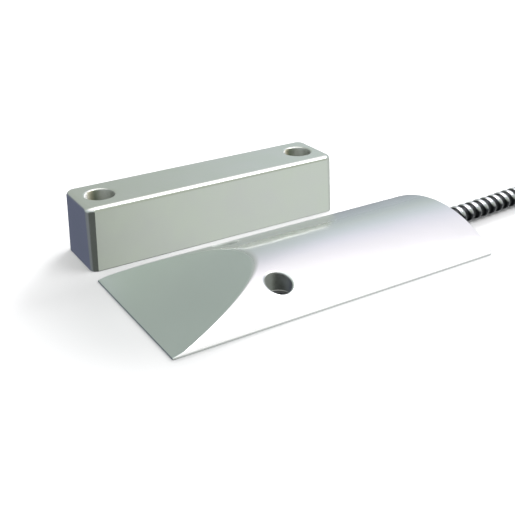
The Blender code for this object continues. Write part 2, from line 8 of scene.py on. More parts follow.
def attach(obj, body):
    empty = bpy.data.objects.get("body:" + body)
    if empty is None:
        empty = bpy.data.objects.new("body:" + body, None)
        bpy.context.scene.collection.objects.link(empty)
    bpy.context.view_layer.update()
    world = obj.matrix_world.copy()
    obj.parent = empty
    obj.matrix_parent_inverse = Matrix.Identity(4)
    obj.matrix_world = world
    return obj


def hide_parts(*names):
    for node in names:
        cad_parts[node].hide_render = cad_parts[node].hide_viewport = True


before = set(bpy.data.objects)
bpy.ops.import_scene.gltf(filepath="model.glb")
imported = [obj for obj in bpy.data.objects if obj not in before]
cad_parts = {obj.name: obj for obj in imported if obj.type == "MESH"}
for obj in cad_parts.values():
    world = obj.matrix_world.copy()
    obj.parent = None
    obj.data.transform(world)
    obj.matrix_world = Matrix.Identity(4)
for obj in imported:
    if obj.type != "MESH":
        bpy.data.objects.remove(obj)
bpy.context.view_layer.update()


# The switch's casting is one die-cast bar of aluminium, arched across, with its left end planed off
# into a ramp that a car's wheel rolls over. Two floor screws go through the recesses in its flanks,
# and its underside is hollow for the reed's board and for the end of the conduit.
SWITCH_LENGTH = 0.0887
SWITCH_WIDTH = 0.0400
SWITCH_Y = -0.01075
CROWN_HEIGHT = 0.0077
ARCH_RADIUS = 0.032809
RAMP_LENGTH = 0.0300
RAMP_TIP = 0.0004
CREASE_SOFTNESS = (0.00010, 0.00036)  # at the front edge, and from the crown on to the back
CREASE_SPREAD = 0.018  # from the crown to where the crease is crisp
SIDE_ROUND = 0.00025
TIP_ROUND = 0.00015
FOOT_BEVEL = 0.0001
SCREW_X = -0.01395
SCREW_OFFSET = 0.0119
HEAD_RADIUS = 0.0030
HEAD_SEAT = 0.0017
SHANK_RADIUS = 0.0018
HOLE_LIP = 0.0006
SHADED_LIP = 0.00015  # how far up the front recess's lip the drilled metal, darkened as painted shade, reaches
BACK_LIGHT_LIP = 0.00054  # the same for the painted light on the back one
SEAT_SOFTNESS = 0.0001
CHAMBER = (-0.01385, 0.03335, 0.0043, 0.0060)  # its ends, half its width and its height
CHAMBER_CORNER = 0.0012
EXIT_Y = -0.01205
CONDUIT_HEIGHT = 0.00265
TROUGH_RADIUS = 0.0037
NOTCH_RADIUS = 0.0028
TROUGH_END = 0.04235
OVERCUT = 0.0003  # how far a cutter reaches past the face that it opens
ROWS_ACROSS = 132


def arch_height(y):
    """The arched back, y from the casting's centre line."""
    return CROWN_HEIGHT - ARCH_RADIUS + math.sqrt(ARCH_RADIUS**2 - y**2)


def ease(value):
    value = min(max(value, 0.0), 1.0)
    return value * value * (3 - 2 * value)


def crease_softness(y):
    crisp, soft = CREASE_SOFTNESS
    return crisp + (soft - crisp) * ease((y + CREASE_SPREAD) / CREASE_SPREAD)


ramp_slope = (CROWN_HEIGHT - RAMP_TIP) / RAMP_LENGTH


def back_height(x, y):
    """The ramp and the arch, run together softly where they meet."""
    arch = arch_height(y)
    ramp = RAMP_TIP + ramp_slope * (x + SWITCH_LENGTH / 2)
    softness = crease_softness(y)
    near = max(softness - abs(arch - ramp), 0.0) / softness
    return min(arch, ramp) - near * near * softness / 4


def edge_state(x, y):
    """How far a point of the back lies round its nearest edges: its drop, and its share of the way out."""
    half_length, half_width = SWITCH_LENGTH / 2, SWITCH_WIDTH / 2
    drop, out = 0.0, Vector((0.0, 0.0, 0.0))
    for inset, radius, way in (
        (half_width + y, SIDE_ROUND, Vector((0, -1, 0))),
        (half_width - y, SIDE_ROUND, Vector((0, 1, 0))),
        (half_length - x, SIDE_ROUND, Vector((1, 0, 0))),
        (half_length + x, TIP_ROUND, Vector((-1, 0, 0))),
    ):
        over = min(max(1 - inset / radius, 0.0), 1.0)
        drop += radius * (1 - math.sqrt(1 - over * over))
        out += way * over
    return drop, out


def back_normal(x, y):
    step = 0.00001
    rise_x = (back_height(x + step, y) - back_height(x - step, y)) / (2 * step)
    inner_y = min(max(y, step - SWITCH_WIDTH / 2), SWITCH_WIDTH / 2 - step)
    rise_y = (back_height(x, inner_y + step) - back_height(x, inner_y - step)) / (2 * step)
    up = Vector((-rise_x, -rise_y, 1.0)).normalized()
    out = edge_state(x, y)[1]
    share = min(out.length, 1.0)
    return (up * math.sqrt(1 - share * share) + out).normalized()


def casting_sheet():
    """The whole outside of the casting, its grid lines laid along the ramp's upper end."""
    bm = bmesh.new()
    half_length, half_width = SWITCH_LENGTH / 2, SWITCH_WIDTH / 2
    turns = [math.radians(a) for a in (0, 20, 40, 60, 78, 90)]
    across = [-half_width + SIDE_ROUND * (1 - math.cos(a)) for a in turns]
    inner = half_width - SIDE_ROUND
    across += [-inner + 2 * inner * i / ROWS_ACROSS for i in range(1, ROWS_ACROSS)]
    across += [half_width - SIDE_ROUND * (1 - math.cos(a)) for a in reversed(turns)]
    ramp_steps, crease_steps, back_steps = 26, 5, 46
    grid = []
    for y in across:
        meet = -half_length + (arch_height(y) - RAMP_TIP) / ramp_slope
        soft = crease_softness(y) / ramp_slope
        along = [-half_length + TIP_ROUND * (1 - math.cos(a)) for a in turns]
        start, stop = along[-1], meet - soft
        along += [start + (stop - start) * i / ramp_steps for i in range(1, ramp_steps)]
        along += [meet + soft * i / crease_steps for i in range(-crease_steps, crease_steps + 1)]
        start, stop = meet + soft, half_length - SIDE_ROUND
        along += [start + (stop - start) * i / back_steps for i in range(1, back_steps)]
        along += [half_length - SIDE_ROUND * (1 - math.cos(a)) for a in reversed(turns)]
        row = []
        for x in along:
            height = back_height(x, y) - edge_state(x, y)[0]
            row.append(bm.verts.new((x, y + SWITCH_Y, max(height, 2 * FOOT_BEVEL))))
        grid.append(row)
    for low, high in zip(grid, grid[1:]):
        for i in range(len(low) - 1):
            bm.faces.new((low[i], low[i + 1], high[i + 1], high[i]))
    rim = grid[0] + [row[-1] for row in grid[1:]] + grid[-1][-2::-1] + [row[0] for row in grid[-2:0:-1]]
    middle = Vector((0, SWITCH_Y, 0))
    levels = [rim]
    for inset, height in ((0.0, FOOT_BEVEL), (FOOT_BEVEL, 0.0)):
        ring = []
        for vert in rim:
            place = vert.co - middle
            place.x = min(max(place.x, inset - half_length), half_length - inset)
            place.y = min(max(place.y, inset - half_width), half_width - inset)
            ring.append(bm.verts.new((place.x, place.y + SWITCH_Y, height)))
        levels.append(ring)
    for upper, lower in zip(levels, levels[1:]):
        for i in range(len(rim)):
            j = (i + 1) % len(rim)
            bm.faces.new((lower[i], lower[j], upper[j], upper[i]))
    bm.faces.new(levels[-1][::-1])
    return bm


def shade_smoothly(mesh, angle):
    """Smooth shading, but for the edges that turn more than this angle."""
    mesh.shade_smooth()
    mesh.set_sharp_from_angle(angle=math.radians(angle))


def piece_from(name, bm, smooth_angle=None):
    """A new object of this mesh, its faces turned outwards."""
    bmesh.ops.recalc_face_normals(bm, faces=bm.faces)
    mesh = bpy.data.meshes.new(name)
    bm.to_mesh(mesh)
    bm.free()
    if smooth_angle is not None:
        shade_smoothly(mesh, smooth_angle)
    piece = bpy.data.objects.new(name, mesh)
    bpy.context.scene.collection.objects.link(piece)
    return piece


def loft(rings, closed=False):
    """A mesh through rings of as many points each, capped at both ends or closed into a loop."""
    bm = bmesh.new()
    rows = [[bm.verts.new(point) for point in ring] for ring in rings]
    count = len(rows[0])
    for low, high in list(zip(rows, rows[1:])) + ([(rows[-1], rows[0])] if closed else []):
        for i in range(count):
            j = (i + 1) % count
            bm.faces.new((low[i], low[j], high[j], high[i]))
    if not closed:
        bm.faces.new(rows[0])
        bm.faces.new(rows[-1])
    return bm


def arc(centre, radius, start, end, steps):
    """Points of (u, v) along an arc, angles in degrees."""
    angles = [math.radians(start + (end - start) * i / steps) for i in range(steps + 1)]
    return [(centre[0] + radius * math.cos(a), centre[1] + radius * math.sin(a)) for a in angles]


def circle(radius, facets):
    """Points of (u, v) once round a circle."""
    angles = [math.tau * i / facets for i in range(facets)]
    return [(radius * math.cos(a), radius * math.sin(a)) for a in angles]


def cut_away(piece, cutters, smooth_angle):
    """Takes the cutters' shapes out of the piece and removes them."""
    for cutter in cutters:
        modifier = piece.modifiers.new(cutter.name, "BOOLEAN")
        modifier.solver = "EXACT"
        modifier.object = cutter
    bpy.context.view_layer.update()
    shown = piece.evaluated_get(bpy.context.evaluated_depsgraph_get())
    mesh = bpy.data.meshes.new_from_object(shown)
    piece.modifiers.clear()
    piece.data = mesh
    mesh.name = piece.name
    shade_smoothly(mesh, smooth_angle)
    for cutter in cutters:
        bpy.data.objects.remove(cutter, do_unlink=True)


def screw_recess(side):
    """The cutter of one recess. Its lip follows the arched flank."""
    facets = 64
    soft = SEAT_SOFTNESS
    levels = [(SHANK_RADIUS, -OVERCUT, 0), (SHANK_RADIUS, HEAD_SEAT - soft, 0)]
    levels += [(SHANK_RADIUS + soft, HEAD_SEAT, 0), (HEAD_RADIUS - soft, HEAD_SEAT, 0)]
    levels += [(HEAD_RADIUS, HEAD_SEAT + soft, 0)]
    for turn in range(0, 91, 10):
        a = math.radians(turn)
        levels.append((HEAD_RADIUS + HOLE_LIP * (1 - math.cos(a)), HOLE_LIP * (math.sin(a) - 1), 1))
    levels.append((HEAD_RADIUS + 2 * HOLE_LIP, HOLE_LIP, 1))
    rings = []
    for radius, height, on_flank in levels:
        ring = []
        for u, v in circle(radius, facets):
            x, y = SCREW_X + u, side * SCREW_OFFSET + v
            ring.append(Vector((x, y + SWITCH_Y, height + (arch_height(y) if on_flank else 0.0))))
        rings.append(ring)
    return piece_from("recess", loft(rings))


def chamber_cutter():
    start, end, half_width, height = CHAMBER
    corners = []
    for sx, sy, turn in ((1, 1, 0), (-1, 1, 90), (-1, -1, 180), (1, -1, 270)):
        middle = (
            (end if sx > 0 else start) - sx * CHAMBER_CORNER,
            SWITCH_Y + sy * (half_width - CHAMBER_CORNER),
        )
        corners += arc(middle, CHAMBER_CORNER, turn, turn + 90, 6)
    rings = [[Vector((x, y, z)) for x, y in corners] for z in (-OVERCUT, height)]
    return piece_from("chamber", loft(rings))


def arched_cutter(radius, start, end):
    centre = (EXIT_Y, CONDUIT_HEIGHT)
    foot = -OVERCUT
    outline = [(EXIT_Y + radius, foot), *arc(centre, radius, 0, 180, 28), (EXIT_Y - radius, foot)]
    return piece_from("trough", loft([[Vector((x, y, z)) for y, z in outline] for x in (start, end)]))


casting = piece_from("casting", casting_sheet())
cut_away(
    casting,
    [
        screw_recess(-1),
        screw_recess(1),
        chamber_cutter(),
        arched_cutter(TROUGH_RADIUS, CHAMBER[1] - CHAMBER_CORNER, TROUGH_END),
        arched_cutter(NOTCH_RADIUS, TROUGH_END - 0.001, SWITCH_LENGTH / 2 + 0.002),
    ],
    30,
)


def true_normals(mesh):
    """Shading from the casting's own curves, on its back and round the lips of its recesses."""
    near = 0.00004
    lip_foot = HEAD_SEAT + 3 * SEAT_SOFTNESS
    normals = []
    for face in mesh.polygons:
        on_back = face.normal.z > 0.02  # the walls of the recesses and the sides are steeper
        for loop in face.loop_indices:
            place = mesh.vertices[mesh.loops[loop].vertex_index].co
            x, y = place.x, place.y - SWITCH_Y
            normal = Vector((0.0, 0.0, 0.0))
            if on_back and abs(y) <= SWITCH_WIDTH / 2:
                height = back_height(x, y) - edge_state(x, y)[0]
                from_hole = Vector((x - SCREW_X, abs(y) - SCREW_OFFSET))
                if y < 0:
                    from_hole.y = -from_hole.y
                reach = from_hole.length - HEAD_RADIUS
                if -near < reach < HOLE_LIP + near and place.z > lip_foot:
                    level = min(max(1 - reach / HOLE_LIP, 0.0), 1.0)
                    inward = Vector((-from_hole.x, -from_hole.y, 0.0)).normalized()
                    normal = back_normal(x, y) * math.sqrt(1 - level * level) + inward * level
                    normal.normalize()
                elif abs(place.z - height) < near:
                    normal = back_normal(x, y)
            normals.append(normal)
    mesh.normals_split_custom_set(normals)


true_normals(casting.data)


def effect_group(name, inputs, outputs):
    """A node group with these named inputs and outputs, its inlet and its outlet."""
    group = bpy.data.node_groups.new(name, "ShaderNodeTree")
    for label, kind, value in inputs:
        socket = group.interface.new_socket(name=label, in_out="INPUT", socket_type="NodeSocket" + kind)
        socket.default_value = value
    for label, kind in outputs:
        group.interface.new_socket(name=label, in_out="OUTPUT", socket_type="NodeSocket" + kind)
    return group, group.nodes.new("NodeGroupInput").outputs, group.nodes.new("NodeGroupOutput").inputs


def add_node(tree, kind, inputs=None, **settings):
    """A node with these settings. An input takes a value, or another node's output."""
    node = tree.nodes.new(kind)
    for key, value in settings.items():
        setattr(node, key, value)
    for key, value in (inputs or {}).items():
        if isinstance(value, bpy.types.NodeSocket):
            tree.links.new(value, node.inputs[key])
        else:
            node.inputs[key].default_value = value
    return node


def worked(tree, operation, *values):
    """The outcome of this sum on values or other nodes' outputs."""
    return add_node(tree, "ShaderNodeMath", dict(enumerate(values)), operation=operation).outputs[0]


def spread(tree, value, start, end, low=0.0, high=1.0, course="LINEAR"):
    """A value that goes from low to high while another goes from start to end."""
    inputs = {"Value": value, "From Min": start, "From Max": end, "To Min": low, "To Max": high}
    return add_node(tree, "ShaderNodeMapRange", inputs, interpolation_type=course).outputs[0]


def parts_of(tree, vector):
    return add_node(tree, "ShaderNodeSeparateXYZ", {0: vector}).outputs


def own_place(tree):
    return add_node(tree, "ShaderNodeTexCoord").outputs["Object"]


def mixed_colour(tree, share, first, second):
    """The first colour run into the second by a share. Each is a colour or another node's output."""
    mix = tree.nodes.new("ShaderNodeMix")
    mix.data_type = "RGBA"
    tree.links.new(share, mix.inputs[0])
    for socket, colour in ((mix.inputs[6], first), (mix.inputs[7], second)):
        if isinstance(colour, bpy.types.NodeSocket):
            tree.links.new(colour, socket)
        else:
            socket.default_value = (*colour, 1)
    return mix.outputs[2]


def cast_skin_group():
    """A skin with soft patches, as a casting has them from the flow of its metal, and a fine grain."""
    group, inlet, outlet = effect_group(
        "cast skin",
        [("Patch Size", "Float", 0.01), ("Grain Size", "Float", 0.0004), ("Grain Height", "Float", 0.5)],
        [("Patches", "Float"), ("Height", "Float")],
    )
    place = own_place(group)

    def noise_of(size, detail):
        scale = worked(group, "DIVIDE", 1.0, size)
        inputs = {"Vector": place, "Scale": scale, "Detail": detail, "Roughness": 0.55}
        return add_node(group, "ShaderNodeTexNoise", inputs).outputs["Fac"]

    patches = noise_of(inlet["Patch Size"], 3.0)
    grain = worked(group, "MULTIPLY", noise_of(inlet["Grain Size"], 4.0), inlet["Grain Height"])
    group.links.new(patches, outlet["Patches"])
    group.links.new(worked(group, "ADD", patches, grain), outlet["Height"])
    return group


def new_finish(name, metallic=0.0, **plain):
    """A material, and its Principled shader with these plain values on its own sockets."""
    finish = bpy.data.materials.new(name)
    finish.use_nodes = True
    shader = finish.node_tree.nodes["Principled BSDF"]
    shader.inputs["Metallic"].default_value = metallic
    for key, value in plain.items():
        shader.inputs[key.replace("_", " ")].default_value = value
    return finish, shader


def vary(finish, shader, mask, colours, roughness):
    """Colour and roughness that move between two values with a mask."""
    tree = finish.node_tree
    least, most = 0.3, 0.7  # a noise seldom leaves this range
    colour = mixed_colour(tree, spread(tree, mask, least, most), *colours)
    tree.links.new(colour, shader.inputs["Base Color"])
    tree.links.new(spread(tree, mask, least, most, *roughness), shader.inputs["Roughness"])


def relief(finish, shader, height, distance):
    inputs = {"Height": height, "Distance": distance, "Strength": 1.0}
    bump = add_node(finish.node_tree, "ShaderNodeBump", inputs)
    finish.node_tree.links.new(bump.outputs[0], shader.inputs["Normal"])


cast_skin = cast_skin_group()


def skinned(name, patches, grain, colours, roughness, depth, metallic=1.0, **plain):
    """A material with this skin. The patches are given by size, and the grain by size and height."""
    finish, shader = new_finish(name, metallic, **plain)
    inputs = {"Patch Size": patches, "Grain Size": grain[0], "Grain Height": grain[1]}
    skin = add_node(finish.node_tree, "ShaderNodeGroup", inputs, node_tree=cast_skin)
    vary(finish, shader, skin.outputs["Patches"], colours, roughness)
    relief(finish, shader, skin.outputs["Height"], depth)
    return finish


bright_cast = skinned(
    "bright cast aluminium",
    patches=0.011,
    grain=(0.0007, 0.05),
    colours=((0.875, 0.885, 0.880), (0.895, 0.895, 0.905)),
    roughness=(0.11, 0.15),
    depth=0.00004,
)
# The recesses' drilled walls are rough, and darkened as painted shade inside the recess.
recess_wall_shade = skinned(
    "drilled aluminium in painted shade",
    patches=0.003,
    grain=(0.0003, 0.5),
    colours=((0.30, 0.31, 0.28), (0.42, 0.44, 0.42)),
    roughness=(0.42, 0.58),
    depth=0.00008,
)
# The screw seats are painted near black, as painted shade at the bottom of the recesses.
seat_painted_shade = skinned(
    "screw seat painted shade",
    patches=0.002,
    grain=(0.0002, 0.5),
    colours=((0.06, 0.06, 0.06), (0.11, 0.11, 0.11)),
    roughness=(0.5, 0.65),
    depth=0.00006,
)
# The back recess is painted pale and matte, painted light that hides the shade inside it.
back_recess_painted_light = skinned(
    "back recess painted light",
    patches=0.002,
    grain=(0.0004, 0.5),
    colours=((0.56, 0.60, 0.57), (0.64, 0.68, 0.65)),
    roughness=(0.5, 0.6),
    depth=0.00002,
    metallic=0.0,
    Specular_IOR_Level=0.2,
)


def dull_and_paint_shade_on_sides(finish):
    """The ramp, which wheels roll over, and the back flank are rougher, and tinted by painted shade and
    reflection.
    """
    tree = finish.node_tree
    shader = tree.nodes["Principled BSDF"]
    rough = shader.inputs["Roughness"].links[0].from_socket
    colour = shader.inputs["Base Color"].links[0].from_socket
    facing = parts_of(tree, add_node(tree, "ShaderNodeNewGeometry").outputs["Normal"])
    # By facing: more roughness, and a painted tone, painted shade on the ramp and a bluish painted
    # reflection on the flank.
    for axis, start, end, duller, painted_tone in (
        ("X", -0.08, -0.20, 0.24, (0.668, 0.735, 0.705)),
        ("Y", 0.04, 0.20, 0.17, (0.850, 0.870, 0.915)),
    ):
        share = spread(tree, facing[axis], start, end)
        rough = worked(tree, "MULTIPLY_ADD", share, duller, rough)
        colour = mixed_colour(tree, share, colour, painted_tone)
    tree.links.new(rough, shader.inputs["Roughness"])
    tree.links.new(colour, shader.inputs["Base Color"])


def paint_front_edge_highlight(finish):
    """Painted highlight: the upright front edge is painted white, but for a thin shaded band at its foot."""
    tree = finish.node_tree
    shader = tree.nodes["Principled BSDF"]
    colour = shader.inputs["Base Color"].links[0].from_socket
    facing = parts_of(tree, add_node(tree, "ShaderNodeNewGeometry").outputs["Normal"])["Y"]
    upright = spread(tree, facing, -0.64, -0.74)
    above_shaded_foot = spread(tree, parts_of(tree, own_place(tree))["Z"], 0.00032, 0.0005)
    # The upright face's white is a painted highlight, kept off the band of shade at its foot.
    painted_white = worked(tree, "MULTIPLY", upright, above_shaded_foot)
    tree.links.new(worked(tree, "SUBTRACT", 1.0, painted_white), shader.inputs["Metallic"])
    tree.links.new(mixed_colour(tree, painted_white, colour, (0.97, 0.97, 0.97)), shader.inputs["Base Color"])


dull_and_paint_shade_on_sides(bright_cast)
paint_front_edge_highlight(bright_cast)
casting_finishes = [bright_cast, recess_wall_shade, seat_painted_shade, back_recess_painted_light]
casting.data.materials.clear()
for finish in casting_finishes:
    casting.data.materials.append(finish)
# The recess walls get painted shade, their seats darker painted shade, and the back recess painted light.
for face in casting.data.polygons:
    place = face.center - Vector((SCREW_X, SWITCH_Y, 0))
    past_wall = Vector((place.x, abs(place.y) - SCREW_OFFSET)).length - HEAD_RADIUS
    if face.normal.z < -0.5 or place.z < FOOT_BEVEL:
        continue
    if place.y > 0 and past_wall < BACK_LIGHT_LIP:
        face.material_index = casting_finishes.index(back_recess_painted_light)
    elif past_wall < SHADED_LIP:
        on_seat = place.z < HEAD_SEAT + SEAT_SOFTNESS / 2
        face.material_index = casting_finishes.index(seat_painted_shade if on_seat else recess_wall_shade)
casting.visible_glossy = False
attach(casting, "contact_set")
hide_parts("switch_housing")


# The reed is a glass capsule with a flat nickel-iron blade sealed into each end, their tips a hair
# apart until the magnet comes near. Its leads are bent up and soldered to the board above it.
def carried(node, finish):
    """Gives a hidden piece of the frame its finish. It isn't mirrored in other metal."""
    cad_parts[node].material_slots[0].material = finish
    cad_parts[node].visible_glossy = False


reed_glass = skinned(
    "green reed glass",
    patches=0.003,
    grain=(0.0004, 0.05),
    colours=((0.72, 0.90, 0.78), (0.80, 0.94, 0.84)),
    roughness=(0.01, 0.05),
    depth=0.00002,
    metallic=0.0,
    Transmission_Weight=1.0,
    IOR=1.52,
    Coat_Weight=0.3,
    Coat_Roughness=0.02,
)
carried("reed_glass", reed_glass)


def drawn_metal_group():
    """Metal drawn or rolled along X: long fine lines, and dull patches where it was handled."""
    group, inlet, outlet = effect_group(
        "drawn metal",
        [("Line Size", "Float", 0.0002), ("Line Length", "Float", 20.0)],
        [("Lines", "Float"), ("Patches", "Float")],
    )
    place = own_place(group)
    parts = parts_of(group, place)
    along = worked(group, "DIVIDE", parts["X"], inlet["Line Length"])
    stretched = add_node(group, "ShaderNodeCombineXYZ", {"X": along, "Y": parts["Y"], "Z": parts["Z"]})
    scale = worked(group, "DIVIDE", 1.0, inlet["Line Size"])
    inputs = {"Vector": stretched.outputs[0], "Scale": scale, "Detail": 3.0, "Roughness": 0.6}
    lines = add_node(group, "ShaderNodeTexNoise", inputs)
    patches = add_node(group, "ShaderNodeTexNoise", {"Vector": place, "Scale": 700.0, "Detail": 2.0})
    group.links.new(lines.outputs["Fac"], outlet["Lines"])
    group.links.new(patches.outputs["Fac"], outlet["Patches"])
    return group


drawn_metal = drawn_metal_group()
blade_metal, shader = new_finish("tinned nickel iron", metallic=1.0)
drawn = add_node(blade_metal.node_tree, "ShaderNodeGroup", {"Line Size": 0.00006}, node_tree=drawn_metal)
vary(blade_metal, shader, drawn.outputs["Patches"], ((0.66, 0.63, 0.56), (0.76, 0.74, 0.69)), (0.2, 0.34))
relief(blade_metal, shader, drawn.outputs["Lines"], 0.000004)
carried("reed_blade_left", blade_metal)
carried("reed_blade_right", blade_metal)


# The board is green lacquered glass laminate. Two copper tracks under the lacquer lead from the
# reed to the pads of the wires, and each joint is a small cone or dome of solder.
TRACK_OFFSET = 0.0020  # from the board's middle line
TRACK_HALF_WIDTH = 0.0005
THREAD_SIZE = 0.0005


def glass_cloth_group():
    """Plain-woven glass threads, as they show through lacquer."""
    group, inlet, outlet = effect_group(
        "glass cloth", [("Thread Size", "Float", THREAD_SIZE)], [("Weave", "Float")]
    )
    parts = parts_of(group, own_place(group))
    waves = []
    for axis in ("X", "Y"):
        threads = worked(group, "DIVIDE", parts[axis], inlet["Thread Size"])
        waves.append(worked(group, "SINE", worked(group, "MULTIPLY", threads, math.pi)))
    crossed = worked(group, "MULTIPLY", *waves)
    group.links.new(spread(group, crossed, -1.0, 1.0), outlet["Weave"])
    return group


glass_cloth = glass_cloth_group()
laminate, shader = new_finish("green lacquered laminate", Coat_Weight=0.4, Coat_Roughness=0.15)
tree = laminate.node_tree
weave = add_node(tree, "ShaderNodeGroup", {}, node_tree=glass_cloth).outputs["Weave"]
across = worked(tree, "ABSOLUTE", worked(tree, "SUBTRACT", parts_of(tree, own_place(tree))["Y"], SWITCH_Y))
across = worked(tree, "ABSOLUTE", worked(tree, "SUBTRACT", across, TRACK_OFFSET))
track = spread(tree, across, TRACK_HALF_WIDTH, 0.8 * TRACK_HALF_WIDTH)
lacquer = mixed_colour(tree, weave, (0.012, 0.10, 0.040), (0.020, 0.15, 0.062))
lacquer = mixed_colour(tree, track, lacquer, (0.055, 0.26, 0.10))
tree.links.new(lacquer, shader.inputs["Base Color"])
tree.links.new(spread(tree, weave, 0.0, 1.0, 0.28, 0.42), shader.inputs["Roughness"])
relief(laminate, shader, worked(tree, "MULTIPLY_ADD", weave, 0.3, track), 0.00003)
carried("reed_board", laminate)

solder = skinned(
    "bright solder",
    patches=0.0006,
    grain=(0.0001, 0.5),
    colours=((0.78, 0.79, 0.80), (0.90, 0.90, 0.90)),
    roughness=(0.12, 0.3),
    depth=0.00002,
)
for node in ("reed_solder_left", "reed_solder_right", "wire_solder_red", "wire_solder_black"):
    carried(node, solder)


# Two stranded wires, one in red and one in black vinyl, are soldered to the board's pads and run
# from there through the whole conduit.
def insulation(name, dull, bright):
    """Extruded vinyl: a faint ripple from the die and a little bloom on its surface."""
    return skinned(name, 0.004, (0.0003, 0.4), (dull, bright), (0.34, 0.5), 0.00003, metallic=0.0)


red_vinyl = insulation("red insulation", (0.42, 0.012, 0.014), (0.56, 0.022, 0.02))
black_vinyl = insulation("black insulation", (0.010, 0.010, 0.011), (0.022, 0.022, 0.024))
carried("inner_wire_red", red_vinyl)
carried("inner_wire_black", black_vinyl)


# A saddle of galvanised strip is pressed over the end of the conduit in the casting. Beside it, black
# resin is cast into the board's chamber from below, and closes it.
def spangle_group():
    """Zinc from a hot bath: flat crystals that each shine a little differently."""
    group, inlet, outlet = effect_group(
        "zinc spangle", [("Crystal Size", "Float", 0.002)], [("Crystals", "Float")]
    )
    scale = worked(group, "DIVIDE", 1.0, inlet["Crystal Size"])
    cells = add_node(group, "ShaderNodeTexVoronoi", {"Vector": own_place(group), "Scale": scale})
    shade = add_node(group, "ShaderNodeSeparateColor", {"Color": cells.outputs["Color"]})
    group.links.new(shade.outputs[0], outlet["Crystals"])
    return group


spangle = spangle_group()
galvanised, shader = new_finish("galvanised saddle", metallic=1.0)
crystals = add_node(galvanised.node_tree, "ShaderNodeGroup", {"Crystal Size": 0.0012}, node_tree=spangle)
zinc_tones = ((0.56, 0.58, 0.60), (0.72, 0.73, 0.75))
vary(galvanised, shader, crystals.outputs["Crystals"], zinc_tones, (0.24, 0.42))
relief(galvanised, shader, crystals.outputs["Crystals"], 0.000004)
carried("conduit_clip", galvanised)

resin = skinned(
    "black casting resin",
    patches=0.006,
    grain=(0.0008, 0.15),
    colours=((0.012, 0.012, 0.013), (0.026, 0.026, 0.028)),
    roughness=(0.16, 0.36),
    depth=0.00006,
    metallic=0.0,
    Coat_Weight=0.25,
)
carried("switch_potting", resin)


# The magnet stands in a die-cast block that is screwed to the door. Its sides have a little draft,
# its top edge a full round, and a counterbored screw hole goes down through each end.
BLOCK_PLACE = Vector((-0.0078, 0.02235, 0.0))
BLOCK_LENGTH = 0.0720
BLOCK_WIDTH = 0.0168
BLOCK_HEIGHT = 0.0163
BLOCK_CORNER = 0.0028
BLOCK_ROUND = 0.0013
FOOT_SHARPNESS = 0.0008
BLOCK_GROUND = 12.0  # degrees that its long sides take off the round corners
BLOCK_FOOT = 0.00015
BLOCK_DRAFT = math.tan(math.radians(1.4))
BLOCK_HOLE = 0.0292  # from the block's middle
BLOCK_BORE = 0.0022
SINK_RADIUS = 0.0036
SINK_SEAT = 0.0113
SINK_LIP = 0.0006
CAVITY = (0.0223, 0.0049, 0.0140)  # half its length, half its width, and its height
CAVITY_CORNER = 0.0006
DRILLED_LIP = 0.00015  # how far out on a hole's lip its drilled metal is seen
DRILLED_TOP = 0.00018  # how far below the block's top that ends

block_shoulder = BLOCK_HEIGHT - BLOCK_ROUND


def rounded_oblong(half_length, half_width, corner, steps, ground=0.0):
    """A rectangle with round corners. Each round stops short of its long sides by the ground angle."""
    points = []
    flat = corner * math.cos(math.radians(ground))
    for sx, sy, turn in ((1, 1, 0), (-1, 1, 90), (-1, -1, 180), (1, -1, 270)):
        middle = (sx * (half_length - corner), sy * (half_width - flat))
        first = turn + (ground if sx * sy < 0 else 0.0)
        last = turn + 90 - (ground if sx * sy > 0 else 0.0)
        points += arc(middle, corner, first, last, steps)
    return points


def block_corner(z):
    """The radius of the upright corners, which is smaller at the foot."""
    return BLOCK_CORNER - FOOT_SHARPNESS * (1 - min(z / block_shoulder, 1.0))


def block_inset(z):
    """How far the block's side stands in from its foot, at this height."""
    if z <= block_shoulder:
        return z * BLOCK_DRAFT
    over = (z - block_shoulder) / BLOCK_ROUND
    return block_shoulder * BLOCK_DRAFT + BLOCK_ROUND * (1 - math.sqrt(max(1 - over * over, 0.0)))


def block_shell():
    levels = [(BLOCK_FOOT, 0.0), (block_inset(BLOCK_FOOT), BLOCK_FOOT)]
    levels += [(block_inset(z), z) for z in (0.004, 0.008, 0.012, block_shoulder)]
    for turn in range(6, 91, 6):
        a = math.radians(turn)
        inset = block_shoulder * BLOCK_DRAFT + BLOCK_ROUND * (1 - math.cos(a))
        levels.append((inset, block_shoulder + BLOCK_ROUND * math.sin(a)))
    rings = []
    for inset, z in levels:
        corner = block_corner(z) - inset
        outline = rounded_oblong(BLOCK_LENGTH / 2 - inset, BLOCK_WIDTH / 2 - inset, corner, 16, BLOCK_GROUND)
        rings.append([BLOCK_PLACE + Vector((x, y, z)) for x, y in outline])
    return piece_from("magnet_block", loft(rings))


def counterbore(side):
    """The cutter of one hole: the way for the screw, the seat for its head, and a round lip."""
    facets = 72
    soft = 0.0001
    profile = [(BLOCK_BORE, -OVERCUT), (BLOCK_BORE, SINK_SEAT - soft), (BLOCK_BORE + soft, SINK_SEAT)]
    profile += [(SINK_RADIUS - soft, SINK_SEAT), (SINK_RADIUS, SINK_SEAT + soft)]
    profile += arc((SINK_RADIUS + SINK_LIP, BLOCK_HEIGHT - SINK_LIP), SINK_LIP, 180, 92, 8)
    profile.append((SINK_RADIUS + SINK_LIP, BLOCK_HEIGHT + OVERCUT))
    rings = []
    for radius, z in profile:
        ring = [Vector((side * BLOCK_HOLE + u, v, z)) for u, v in circle(radius, facets)]
        rings.append([BLOCK_PLACE + point for point in ring])
    return piece_from("counterbore", loft(rings))


def cavity_cutter():
    half_length, half_width, height = CAVITY
    outline = rounded_oblong(half_length, half_width, CAVITY_CORNER, 4)
    rings = [[BLOCK_PLACE + Vector((x, y, z)) for x, y in outline] for z in (-OVERCUT, height)]
    return piece_from("cavity", loft(rings))


